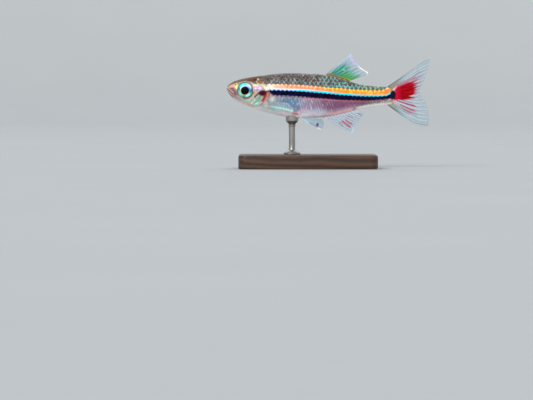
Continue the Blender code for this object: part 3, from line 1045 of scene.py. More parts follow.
# Marks of the head that lie under the brown of its crown
FACE_MARKS = (
    Patch(0.72, 1.28, 0.46, 0.19, "f4a884", 0.9, 22),
    Patch(1.40, 1.34, 0.38, 0.36, "f2e494", 0.95, -14),
    Patch(1.46, 1.04, 0.17, 0.22, "fff2a4", 0.9, -35),
    Patch(0.84, 0.60, 0.52, 0.30, "7c5a60", 0.85, -45),
    Patch(1.34, 0.22, 0.38, 0.30, "86646a", 0.8, -40),
    Patch(1.95, -0.33, 0.56, 0.20, "a8c0b0", 0.9, -24),
    Patch(2.95, -0.80, 0.80, 0.22, "aecebc", 0.9, -11),
    Patch(3.50, 2.06, 0.55, 0.13, "b48f60", 0.6, 8),
    Patch(4.05, 0.18, 0.19, 0.42, "c4a08a", 0.85, 14),
    Patch(4.50, -0.68, 0.86, 0.33, "80aa9a", 0.95, 34),
    Patch(4.68, -0.42, 0.26, 0.13, "6f8f86", 0.75, 40),
    Patch(4.34, -1.32, 0.60, 0.20, "96cab6", 0.9, 6),
    Patch(4.33, -1.16, 0.30, 0.10, "c4f4de", 0.85, 24),
    Patch(4.02, -0.78, 0.24, 0.09, "b6e6d2", 0.8, 48),
    Patch(5.02, -0.26, 0.24, 0.10, "bccec8", 0.7, 48),
    Patch(3.60, -1.12, 0.20, 0.12, "dcecdf", 0.7, 50),
    Patch(4.45, 1.02, 0.68, 0.27, "f79fd8", 0.95, -4),
    Patch(4.08, 1.38, 0.36, 0.15, "fff0c4", 0.95, -6),
    # Two painted highlights: white glints in the pink band behind the eye.
    Patch(4.14, 0.98, 0.14, 0.12, "fff4ff", 0.9),
    Patch(4.74, 0.96, 0.22, 0.13, "ffe9fa", 0.85),
    Patch(4.43, 0.70, 0.18, 0.12, "7264dc", 0.9, -10),
    Patch(4.62, 0.57, 0.17, 0.08, "d2eabc", 0.85, -20),
    Patch(5.32, 0.20, 0.80, 0.52, "8c2834", 0.6, 0, 0.6),
    PLUM_BLOTCH,
    Patch(5.40, 1.22, 0.22, 0.14, "ffe680", 0.95, -30),
    Patch(5.62, 0.98, 0.24, 0.14, "fff2f6", 0.9),
    Patch(5.74, 0.74, 0.20, 0.09, "dcfaff", 0.95),
    Patch(5.98, 1.14, 0.20, 0.40, "fff2ea", 0.85, 8),
    Patch(5.72, 1.52, 0.13, 0.08, "8a4a50", 0.8, -20),
    Patch(6.02, 0.52, 0.34, 0.15, "6c1420", 0.9, -8),
    Patch(6.24, 0.56, 0.16, 0.13, "0c0414", 0.9),
)
# Marks of the head that lie over that brown
NAPE_MARKS = (
    Patch(4.84, 1.90, 0.56, 0.40, "bfae98", 0.55, -18, 0.2),
    Patch(4.84, 1.91, 0.42, 0.29, "75503c", 0.85, -18, 0.3),
    Patch(4.86, 1.88, 0.24, 0.14, "b06a3a", 0.85, -20),
    Patch(4.04, 2.22, 0.17, 0.14, "38261f", 0.85),
    Patch(4.50, 2.26, 0.10, 0.13, "e8ede2", 0.85, 30),
    Patch(4.29, 1.90, 0.09, 0.10, "d4d8ba", 0.75),
    Patch(4.47, 1.60, 0.16, 0.09, "d2d89e", 0.85, -25),
    Patch(4.80, 1.50, 0.15, 0.08, "b6ba92", 0.8),
    Patch(5.12, 1.52, 0.10, 0.10, "d8cdb0", 0.75, -30),
    Patch(5.24, 1.88, 0.09, 0.12, "cdb9a8", 0.75),
    Patch(5.04, 2.20, 0.12, 0.08, "b8aa98", 0.6, -35),
    Streak(((1.6, -0.74), (2.7, -1.24), (3.8, -1.68), (5.1, -2.07)), 0.13, "d0aca2", 0.8),
    Streak(((0.80, -0.28), (1.45, -0.70), (2.1, -1.05), (2.9, -1.40)), 0.09, "d6ccd2", 0.75),
    Streak(((0.62, 0.88), (0.84, 0.52), (1.02, 0.26)), 0.06, "cdb0aa", 0.7),
    Streak(((3.86, 0.60), (3.70, 0.10), (3.32, -0.32), (2.78, -0.52), (2.20, -0.50)), 0.12, "8c3c2c", 0.9),
    Streak(((2.6, -0.53), (2.10, -0.42), (1.62, -0.08), (1.40, 0.32)), 0.08, "98685c", 0.75),
    Streak(((3.78, 1.10), (3.48, 1.58), (3.02, 1.88), (2.44, 1.96), (1.9, 1.72)), 0.08, "b0703c", 0.8),
    Streak(((4.96, 0.52), (4.40, 0.10), (3.90, -0.44)), 0.12, "481822", 0.95),
    Streak(((3.62, -0.52), (3.50, -0.86), (3.34, -1.16)), 0.08, "b08a86", 0.75),
    Streak(((6.02, 0.46), (5.72, -0.16), (5.46, -0.62), (5.16, -1.06)), 0.17, "c06a42", 0.95),
    Streak(((5.64, 0.10), (5.42, -0.34), (5.00, -1.02)), 0.15, "94081a"),
    Streak(((6.24, 0.40), (6.10, -0.10), (5.94, -0.36)), 0.09, "8e1c18", 0.9),
    Streak(((5.62, -0.90), (5.20, -1.18), (4.70, -1.46), (4.00, -1.74)), 0.16, "d8b4aa", 0.9),
    # Painted shade: dark lines in the groove of the upper jaw and in the gap of the mouth.
    Streak(MAXILLA_LINE, 0.045, "5c4440", 0.75),
    Streak(MOUTH_LINE, 0.055, "3c2628", 0.85),
)
# Marks that lie over the stripes of the body
BODY_MARKS = (
    Patch(5.75, -1.22, 0.75, 0.30, "ccb0a8", 0.85, -22, 0.6),
    Patch(6.30, -0.30, 0.34, 0.40, "b494a0", 0.6, 0, 0.6),
    Patch(6.52, -0.72, 0.30, 0.44, "d2e2c6", 0.85, -24, 0.6),
    Patch(5.95, -1.66, 0.55, 0.16, "ccd6c4", 0.7, -14),
    Patch(7.25, -1.94, 0.62, 0.21, "a8ece0", 0.8, -9),
    Patch(9.85, -2.72, 0.52, 0.16, "d8605e", 0.9, -8),
    Patch(10.42, -2.50, 0.14, 0.12, "fff0f8", 0.8),
    Patch(11.1, -2.45, 0.7, 0.42, "dcb8cc", 0.6),
    Patch(11.25, -2.80, 0.50, 0.16, "d8f4f4", 0.85, -4),
    Patch(12.50, -2.88, 0.36, 0.14, "f0b8b4", 0.8, 4),
    Patch(23.15, 0.56, 0.48, 0.40, "ff8840", 0.95, 40, 0.3),
    Patch(23.20, 0.94, 0.26, 0.09, "fff2b8", 0.8, 12),
    Patch(23.25, -1.02, 0.62, 0.28, "b6aeaa", 0.7, 0, 0.6),
    Patch(22.90, -0.74, 0.22, 0.09, "5e4e62", 0.6),
    Patch(23.52, -0.62, 0.20, 0.10, "ccccbe", 0.8),
    Patch(23.92, -0.84, 0.17, 0.15, "a84c4c", 0.75),
    Streak(((14.0, -2.94), (15.6, -2.70), (17.0, -2.38), (18.5, -2.02)), 0.22, "ffc4ca"),
    Streak(((18.2, -2.06), (20.0, -1.70), (21.8, -1.44), (23.3, -1.36), (24.5, -1.30)), 0.21, "fff8ea"),
    Streak(((6.3, -1.74), (7.2, -1.84), (8.2, -2.08), (9.5, -2.42)), 0.20, "b8f0e4", 0.85),
)


class Markings(Places):
    """The fish's colours at any places on it, so that skin and scales match."""

    gold_top = Contour(
        (5.0, 1.60), (6.2, 1.57), (8.6, 1.53), (11.4, 1.40), (14.2, 1.13), (16.4, 0.98),
        (17.8, 0.85), (19.6, 0.74), (21.4, 0.68), (22.5, 0.74), (23.1, 1.03), (23.8, 0.98),
    )
    gold_low = Contour(
        (5.0, 0.95), (6.2, 0.86), (8.6, 0.80), (11.4, 0.69), (14.2, 0.46), (16.4, 0.25),
        (19.1, 0.05), (21.4, -0.01), (22.8, 0.02), (23.3, 0.18), (23.7, 0.60),
    )
    black_top = Contour(
        (5.9, 0.66), (7.0, 0.66), (8.6, 0.61), (11.4, 0.46), (14.2, 0.22), (16.4, 0.01),
        (19.1, -0.17), (21.4, -0.22), (22.8, -0.15), (23.3, -0.04), (23.7, 0.22),
    )
    black_low = Contour(
        (5.9, 0.56), (6.3, 0.22), (6.8, 0.02), (8.6, -0.06), (11.4, -0.25), (14.2, -0.44),
        (16.4, -0.62), (19.1, -0.68), (20.9, -0.68), (22.4, -0.56), (23.3, -0.46), (23.8, -0.50),
    )
    crown_edge = Contour(
        (0.0, 1.34), (0.4, 1.48), (0.9, 1.64), (1.6, 1.80), (2.2, 1.96), (2.8, 2.02), (3.5, 1.84),
        (4.2, 1.60), (5.0, 1.60), (6.2, 1.57),
    )

    blue_belly = Patch(9.15, -1.20, 1.45, 0.90, "547a9e", 0.85, -6, 0.85)
    frosted_belly = Patch(12.7, -2.50, 1.7, 0.50, "c0d2e6", 0.56, 4, 0.7)
    contours = ("gold_top", "gold_low", "black_top", "black_low")

    @property
    def around(self) -> Array:
        """Where they are round their section. Its share of aside keeps the sides from mirroring."""
        return self.above - np.abs(self.aside) + 0.3 * self.aside

    def back(self) -> Array:
        """Colours above the gold stripe: brown, slate beside the stripe, green towards the tail, and a pale
        ridge line, partly its own tan and partly a painted highlight.

        Returns:
            The colours.
        """
        behind, rear = self.behind, rise(12.0, 18.0, self.behind)
        pale = mixed("b29684", "dcc6bc", rise(9.5, 12.5, behind) * rise(19.0, 15.0, behind))
        return layered(
            mixed("5f4e48", "5a5844", rear),
            (mixed("5a5a66", "4c7670", rear), rise(0.80, 0.0, self.above - self.gold_top.at(behind)) * 0.8),
            ("8c7e74", 0.21 + 0.21 * uneven(behind, self.around, 0.36, 3)),
            # A pale line along the ridge of the back: partly its tan edge, partly a painted highlight where
            # the top catches the light.
            (pale, bell(self.flesh()[0], 0.12) * 0.7),
        )

    def lower(self) -> tuple[Array, Array]:
        """Colours under the black stripe: lilac and blue-grey belly, mauve flank, silver stalk.

        Returns:
            The colours, and how strong the streaks, specks and painted glints of light are on them.
        """
        behind, floor = self.behind, self.flesh()[1]
        silver = rise(18.8, 21.8, behind)
        low = rise(1.15, 0.25, floor) * (1 - 0.35 * rise(12, 16, behind)) * rise(20.0, 17.0, behind)
        pale = layered("b6d0cc", ("fff0f4", rise(6.6, 8.6, behind)), ("c8b8c4", rise(12.5, 15.0, behind)))
        colour = layered(
            mixed("9896a6", "94809a", rise(9.4, 12.4, behind)),
            *self.layers(self.blue_belly),
            ("784a6b", rise(11.8, 15.0, behind) * 0.95),
            ("6a4260", rise(16.5, 20.5, behind) * 0.5),
            ("625c6a", silver * 0.8),
            (pale, low * 0.9),
            *self.layers(self.frosted_belly),
            ("fff2ee", bell(floor, 0.34) * rise(15.0, 12.5, behind) * 0.9),
        )
        streaks = rise(9.6, 11.2, behind) * rise(16.6, 12.6, behind) * 0.66
        specks = rise(10.9, 10.2, behind) * rise(6.4, 7.4, behind) * 0.8
        # The third part is how strong the painted glints of light are on the silver stalk.
        return colour, np.stack([streaks, specks, silver * 0.4], axis=-1) * (1 - 0.6 * low)[..., None]

    def head(self) -> Array:
        """Colours of the head: brown crown, pinkish jaws, pearly cheek and blood-red gill slit, with painted
        shade in the nostrils, the mouth's gap and the groove of the upper jaw.

        Returns:
            The colours.
        """
        behind, above = self.behind, self.above
        side = mixed("a28488", "b0b6aa", rise(1.2, 2.6, behind))
        side = mixed(side, "d2b2a6", rise(-0.5, -1.5, above) * 0.5)
        blotches = 0.5 * rise(0.0, 0.9, uneven(behind, self.around, 0.30, 17))
        crown = layered("6f5c42", ("66493c", rise(0.8, 3.2, behind)), ("937659", blotches))
        lips, share = self.from_line(MOUTH_LINE, 20)
        layers = [
            *self.layers(*FACE_MARKS),
            (crown, rise(-0.13, 0.10, above - self.crown_edge.at(behind))),
            *self.layers(*NAPE_MARKS),
            ("e0c8bc", bell(np.abs(lips) - 0.13, 0.05) * rise(1.0, 0.85, share) * 0.55),
        ]
        # Each nostril: a pale ring on its raised rim, and painted shade that darkens its pit.
        for gap in map(self.gap, NOSTRILS):
            layers += [("c4ae8a", bell(gap - 0.15, 0.04) * 0.5), ("231a16", rise(0.12, 0.06, gap) * 0.95)]
        return layered(side, *layers)

    def over(self, past: Array) -> tuple[Array, Array]:
        """What lies over the stripes: the body's marks, the red root of the tail, and the whole head.

        Args:
            past: how far the places are past the gill opening, from 0 on the head to 1 on the body.

        Returns:
            The colours, each multiplied by how far it covers, and how far they cover in all.
        """
        layers = [
            *self.layers(*BODY_MARKS),
            (mixed("c09a98", "c8062c", rise(-0.80, -0.66, self.above)), rise(24.22, 24.36, self.behind)),
            *self.layers(*TAIL_ROOT_MARKS),
            (self.head(), 1 - past),
        ]
        cover = 1 - np.prod([1 - mask for _, mask in layers], axis=0)
        return layered(np.zeros((*self.behind.shape, 3)), *layers), cover

    def paints(self) -> dict[str, Array]:
        """What SkinFinish reads.

        Returns:
            behind, and the levels over the edges of the gold and black stripes; paint: the ground's
            colour, with its ornament; over and cover: what lies over the stripes; pigment: how thick the
            dark dots lie; pearl: how much it gleams.
        """
        behind, above = self.behind, self.above
        gills, _ = self.from_line(GILL_EDGE, 50)
        past = np.where(above > 2.0, rise(4.75, 5.15, behind), rise(0.03, -0.03, -gills))
        past = np.where(above < -1.82, rise(3.3, 3.9, behind), past)
        levels = {key: above - getattr(self, key).at(behind) for key in self.contours}
        on_top = rise(-0.35, -0.15, levels["gold_top"])
        ground, ornament = self.lower()
        over, cover = self.over(past)
        edge = above - np.where(behind < 5.4, self.crown_edge.at(behind), self.gold_top.at(behind))
        on_back = rise(0.0, 0.35, edge)
        blots = np.maximum(TAIL_SPOT.mask(self), PLUM_BLOTCH.mask(self))
        plain = (1 - blots) * rise(24.35, 24.15, behind)
        bright = bell(levels["black_top"] - 0.5, 0.5) * rise(5.6, 6.4, behind)
        return {
            "behind": behind,
            **levels,
            "paint": mixed(ground, self.back(), on_top),
            "ornament": ornament * (1 - on_top)[..., None],
            "over": over,
            "cover": cover,
            "pigment": (0.10 + 0.80 * on_back) * plain,
            "pearl": np.clip((0.25 + 0.10 * past + 0.25 * bright - 0.12 * on_back) * plain, 0, 1),
        }


@dataclass
class Skin:
    """One closed skin over the whole flesh, with the relief of mouth, jaws, nostrils and gill covers."""

    fish: Fish
    snout_rings: int = 26
    head_rings: int = 190
    trunk_rings: int = 178
    columns: int = 214
    head_end: float = 6.9  # behind the snout, where the rings lie further apart
    under_scales: float = 0.035  # how far it lies under the scales' outer edges
    tail_root: float = 0.62  # how far the flesh thins out over the tail fin's rays
    solids: tuple[str, ...] = ("head", "gill_cover_left", "gill_cover_right", "trunk", "tail_stalk")

    def build(self) -> None:
        """Makes and dresses the skin in place of the flesh's solids."""
        start = np.linspace(0, 1, self.snout_rings + 1)[1:] ** 1.6
        front = station_of(np.linspace(FLESH[1, 0], self.head_end, self.head_rings + 1)[1:])
        rear = station_of(np.linspace(self.head_end, FLESH_LENGTH, self.trunk_rings + 1)[1:])
        turn = once_round(self.columns)
        plain = sections(np.concatenate([start, front, rear]), turn)
        plain = np.concatenate([plain, self._tail_root(turn)])
        at = Places(*np.moveaxis(plain, -1, 0))
        raised = plain + self._normals(plain) * self.relief(at)[..., None]
        raised[..., 2] = self._seat_eyes(at, raised[..., 2])
        snout, end = (*flesh_at(np.array([0.0]))[0, :2], 0.0), raised[-1].mean(axis=0)
        flat, faces = closed(snout, raised, end)
        shown, _ = closed(snout, plain, end)
        paints = {**Markings(*shown.T).paints(), "scaled": np.zeros(len(flat))}
        piece = Piece("skin", self.fish.place(flat), faces, paints)
        piece.make(SkinFinish().build("wet_skin"), "body_skin", *self.solids)

    def _tail_root(self, turn: Array) -> Array:
        """Sections behind the last station: they thin out aside, and bulge back in a round edge.

        Args:
            turn: headings round a section.

        Returns:
            (behind, above, aside) by section and by heading.
        """
        share = np.linspace(0, 1, 13)[1:, None]
        behind, above, aside = sections(np.array([float(LAST_STATION)]), turn)[0].T
        back = behind + self.tail_root * share * (0.45 + 0.55 * (1 - (above / 0.80) ** 2))
        thin = np.sqrt(np.clip(1 - share**1.3, 0, 1)) * 0.93 + 0.07
        return joined(back, above * (1 + 0.10 * share), aside * thin)

    @staticmethod
    def _normals(grid: Array) -> Array:
        """Outward unit normals.

        Args:
            grid: points whose rows run round.

        Returns:
            A normal for each point.
        """
        padded = np.concatenate([grid[:, -1:], grid, grid[:, :1]], axis=1)
        normal = surface_normals(padded)[:, 1:-1]
        outward = grid - grid.mean(axis=1, keepdims=True)
        flip = np.sign(np.sum(normal * outward, axis=-1, keepdims=True))
        return normal * np.where(flip == 0, 1, flip)

    def relief(self, at: Places) -> Array:
        """How far the skin stands out of the flesh's form, from its parts added up.

        Args:
            at: the places to work it out for.

        Returns:
            Millimetres, plus outwards.
        """
        behind, above = at.behind, at.above
        mouth, along = at.from_line(MOUTH_LINE, 24)
        lips = 0.060 * bell(np.abs(mouth) - 0.115, 0.07)
        out = (lips - 0.17 * bell(mouth, 0.042)) * rise(1.0, 0.86, along)
        out += self._crease(at, MAXILLA_LINE, 0.065, 0.04, 0.035)
        for gap in map(at.gap, NOSTRILS):
            out += 0.045 * bell(gap - 0.16, 0.05) - 0.15 * bell(gap, 0.085)
        gill, share = at.from_line(GILL_EDGE, 60)
        span = rise(0.0, 0.10, share) * rise(1.0, 0.93, share) * rise(7.5, 6.6, behind)
        lifted = rise(0.02, -0.05, gill) * rise(-1.6, -0.15, gill)
        out += span * (0.085 * lifted - 0.055 * bell(gill - 0.07, 0.07) - 0.012 * bell(gill + 0.17, 0.04))
        out += self._crease(at, CHEEK_EDGE, 0.060, 0.05, 0.030)
        for line in JAW_CREASES:
            out += self._crease(at, line, 0.045, 0.045, 0.020)
        for line in THROAT_CREASES:
            out += self._crease(at, line, 0.040, 0.04, 0.015) * (above < -0.9)
        off_b, off_a = behind - EYE_PLACE[0], above - EYE_PLACE[1]
        gap = at.gap(EYE_PLACE)
        ring = 0.020 * bell(gap - 1.38, 0.08) - 0.035 * bell(gap - 1.52, 0.06)
        out += ring * rise(0.6, -0.4, off_a - 0.5 * off_b)
        out -= 0.05 * bell(at.aside, 0.07) * rise(0.5, 1.0, behind) * rise(4.4, 3.6, behind) * (above < 0)
        out += 0.20 * bell(np.hypot(behind - 13.95, at.aside * 1.3), 0.26) * (above < -2)
        out += 0.004 * uneven(behind, above, 0.35, 21) * rise(5.6, 4.8, behind)
        scaled = rise(4.9, 6.3, behind + 0.35 * np.minimum(above, 0)) * rise(24.2, 23.7, behind)
        return out - self.under_scales * scaled * rise(3.0, 2.2, np.abs(at.aside))

    @staticmethod
    def _crease(at: Places, line: Sequence, deep: float, wide: float, lip: float) -> Array:
        """A groove along a line, with a low rounded lip on its right hand, fading at both ends.

        Args:
            at: the places to work it out for.
            line: the knots of its smooth line.
            deep: its depth.
            wide: its width.
            lip: the lip's height.

        Returns:
            Millimetres, plus outwards.
        """
        gap, share = at.from_line(line, 30)
        ends = rise(0.0, 0.14, share) * rise(1.0, 0.84, share)
        return (lip * bell(gap + 2.4 * wide, 1.6 * wide) - deep * bell(gap, wide)) * ends

    @staticmethod
    def _seat_eyes(at: Places, aside: Array) -> Array:
        """Draws the skin round each eye into the plane of the eye's rim, with a pit inside it.

        Args:
            at: the places on the flesh.
            aside: how far aside the raised skin lies there.

        Returns:
            How far aside it lies after that.
        """
        gap, rim = at.gap(EYE_PLACE), eye_rim(at.behind - EYE_PLACE[0], at.above - EYE_PLACE[1])
        rim = rim + 0.035 * bell(gap - 1.19, 0.07) - 0.34 * rise(1.13, 0.98, gap)
        follow = rise(1.78, 1.16, gap)
        return np.where(gap < 1.8, np.sign(aside) * (np.abs(aside) * (1 - follow) + rim * follow), aside)


class Unrolled:
    """One side of the flesh unrolled: places behind the snout by distance up round from the mid-side."""

    def __init__(self) -> None:
        """Reads each section's outline by its own length, a little past the midline at both ends."""
        reach, past = 6.4, 0.7  # millimetres up round from the mid-side, and radians past the midline
        self.behind = np.linspace(3.0, 24.2, 240)
        self.around = np.linspace(-reach, reach, 257)
        self.table = np.zeros((len(self.behind), len(self.around), 3))
        self.table[..., 0] = self.behind[:, None]
        self.top, self.bottom = np.zeros((2, len(self.behind)))
        turn = np.linspace(-past, math.pi + past, 260)
        for k, outline in enumerate(sections(station_of(self.behind), turn)):
            _, above, aside = outline.T
            run = np.concatenate([[0], np.cumsum(np.hypot(np.diff(above), np.diff(aside)))])
            up = np.interp(math.pi / 2, turn, run) - run
            self.top[k], self.bottom[k] = np.interp((0.0, math.pi), turn, up)
            self.table[k, :, 1] = np.interp(self.around, up[::-1], above[::-1])
            self.table[k, :, 2] = np.interp(self.around, up[::-1], aside[::-1])
        normal = surface_normals(self.table)
        self.normal = normal * np.sign(normal[len(self.behind) // 2, len(self.around) // 2, 2])

    def at(self, behind: Array, around: Array) -> tuple[Array, Array]:
        """Reads the table, mixed from its four nearest places.

        Args:
            behind: places behind the snout.
            around: how far they lie up round from the mid-side.

        Returns:
            Points and normals.
        """
        i = (behind - self.behind[0]) / (self.behind[1] - self.behind[0])
        j = (around - self.around[0]) / (self.around[1] - self.around[0])
        i = np.clip(i, 0, len(self.behind) - 1.001)
        j = np.clip(j, 0, len(self.around) - 1.001)
        a, b = i.astype(int), j.astype(int)
        s, t = (i - a)[..., None], (j - b)[..., None]
        low, high = (
            [v[a, c] * (1 - s) + v[a + 1, c] * s for v in (self.table, self.normal)] for c in (b, b + 1)
        )
        point, normal = (under * (1 - t) + over * t for under, over in zip(low, high))
        return point, normal


@dataclass
class Scales:
    """Thin overlapping scales in staggered rows from the gill opening to the base of the tail fin."""

    fish: Fish
    flesh: Unrolled = field(default_factory=Unrolled)
    length: float = 0.86
    height: float = 1.16
    along: int = 6
    across: int = 8
    root_lift: float = -0.050
    edge_lift: float = 0.024
    thick: float = 0.020
    rows: int = 9  # above the mid-side's own row, and below it
    end: float = 24.15  # behind the snout, where the rearmost scales stop
    parting: float = 13.0  # behind the snout, where the front scales' piece ends and the rear one begins
    # The OFBake map: how far it reaches behind the snout and round both sides, and where a mid-side lies
    map_size: tuple[float, float] = (25.0, 27.0)
    map_level: float = 6.5
    # Where the scaled skin starts: just inside the gill opening, and further back on nape and breast
    opening: tuple = (
        (4.9, 3.0), (5.0, 2.2), (5.85, 1.1), (5.95, 0.4), (5.6, -0.5), (4.9, -1.3), (4.7, -2.2), (4.6, -2.8),
    )

    def build(self) -> None:
        """Makes the scales of both sides, each in two pieces, and of the two midlines."""
        finish = SkinFinish().build("scales")
        roots = self._side_roots()
        front = roots[:, 0] < self.parting
        for side in Side:
            for half, own in (("front", roots[front]), ("rear", roots[~front])):
                self._sheet(f"scales_{side.label}_{half}", own, side.value, finish)
        self._sheet("scales_midline", self._midline_roots(), 1, finish)

    def _side_roots(self) -> Array:
        """Roots in rows, every other one half a step on, wherever a whole scale has room.

        Returns:
            (behind, around) of each root on one side.
        """
        found = []
        edge = smooth_line(self.opening, 60)
        for row in range(-self.rows, self.rows + 1):
            behind = (np.arange(-2, 42) + 0.5 * (row % 2)) * SCALE_PITCH + 3.6
            around = np.full_like(behind, row * ROW_PITCH)
            top, bottom = self._midlines(behind + 0.5 * self.length)
            above = self.flesh.at(behind, around)[0][:, 1]
            keep = (around < top - 0.30 * self.height) & (around > bottom + 0.30 * self.height)
            keep &= (behind > np.interp(-above, -edge[:, 1], edge[:, 0])) & (behind + self.length < self.end)
            found.append(np.stack([behind, around], axis=1)[keep])
        return np.concatenate(found)

    def _midline_roots(self) -> Array:
        """Roots of the single rows along the ridge of the back and the keel of the belly.

        Returns:
            (behind, around) of each root.
        """
        behind = np.arange(36) * SCALE_PITCH + 4.75
        rows = []
        for level, front in zip(self._midlines(behind), (5.1, 5.0)):
            keep = (behind > front) & (behind + self.length < 24.1)
            rows.append(np.stack([behind, level], axis=1)[keep])
        return np.concatenate(rows)

    def _midlines(self, behind: Array) -> tuple[Array, Array]:
        """How far round from the mid-side the ridge of the back and the keel of the belly lie."""
        top, bottom = (np.interp(behind, self.flesh.behind, v) for v in (self.flesh.top, self.flesh.bottom))
        return top, bottom

    def _sheet(self, name: str, roots: Array, sign: int, finish: Material) -> None:
        """Makes all the scales at some roots, as one mesh of thin closed shells.

        Each is a fan: its length is drawn in towards its sides, its breadth swells from the root, and it
        rises from under the scale in front to its free edge. A point under its middle closes it below.

        Args:
            name: the piece's name.
            roots: (behind, around) of each scale's root.
            sign: the side's sign.
            finish: the scales' material.
        """
        p = np.linspace(0, 1, self.along)[:, None] ** 0.8
        q = np.linspace(-1, 1, self.across)[None, :]
        draw = np.random.default_rng(31)
        vary = draw.uniform(0.94, 1.06, (len(roots), 1, 1))
        behind = roots[:, 0, None, None] + p * (self.length * vary * (1 - 0.40 * np.abs(q) ** 2.4 * p))
        spread = 0.5 * self.height * (0.66 + 0.34 * rise(0.0, 0.55, p)) * (1 - 0.10 * rise(0.6, 1.0, p))
        middle = roots[:, 1, None, None]
        if name.endswith("midline"):
            middle = np.where(roots[:, 1, None] > 0, *self._midlines(behind[:, :, 0]))[:, :, None]
        point, normal = self.flesh.at(behind, middle + q * spread * np.ones_like(behind))
        lift = self.root_lift + (self.edge_lift - self.root_lift) * p**0.8 - 0.030 * np.abs(q) ** 3
        outer = point + normal * (lift - 0.012 * rise(0.86, 1.0, p))[..., None]
        heart = outer.mean(axis=(1, 2)) - self.thick * normal.mean(axis=(1, 2))
        count, grid = len(roots), self.along * self.across
        flat = np.concatenate([outer.reshape(count, grid, 3), heart[:, None]], axis=1).reshape(-1, 3)
        flat[:, 2] *= sign

        shares = joined(p, q).reshape(grid, 2)
        shares = np.tile(np.vstack([shares, [0.5, 0.0]]), (count, 1))
        paints = Markings(*flat.T).paints()
        paints["root"], paints["across"] = shares.T
        paints["own"] = np.repeat(draw.uniform(0, 1, count), grid + 1)
        paints["scaled"] = np.ones(len(flat))
        index = numbered(self.along, self.across)
        rim = rim_of(index)
        under = np.stack([np.roll(rim, -1), rim, np.full_like(rim, grid)], axis=1)
        first = (np.arange(count) * (grid + 1))[:, None, None]
        faces = [(shape + first).reshape(-1, shape.shape[1]) for shape in (grid_faces(index), under)]
        # On the map one side's unrolled flank lies over the other's, and each scale is a small patch
        at = (np.repeat(roots, grid + 1, axis=0) + (0, self.map_level)) / self.map_size
        unwrap = at + (0.0, 0.5 * (sign > 0)) + 0.003 * (shares * (1, 0.5) + (0, 0.5))
        piece = Piece(name, self.fish.place(flat), faces, paints, unwrap, math.radians(60))
        piece.make(finish, "body_skin")


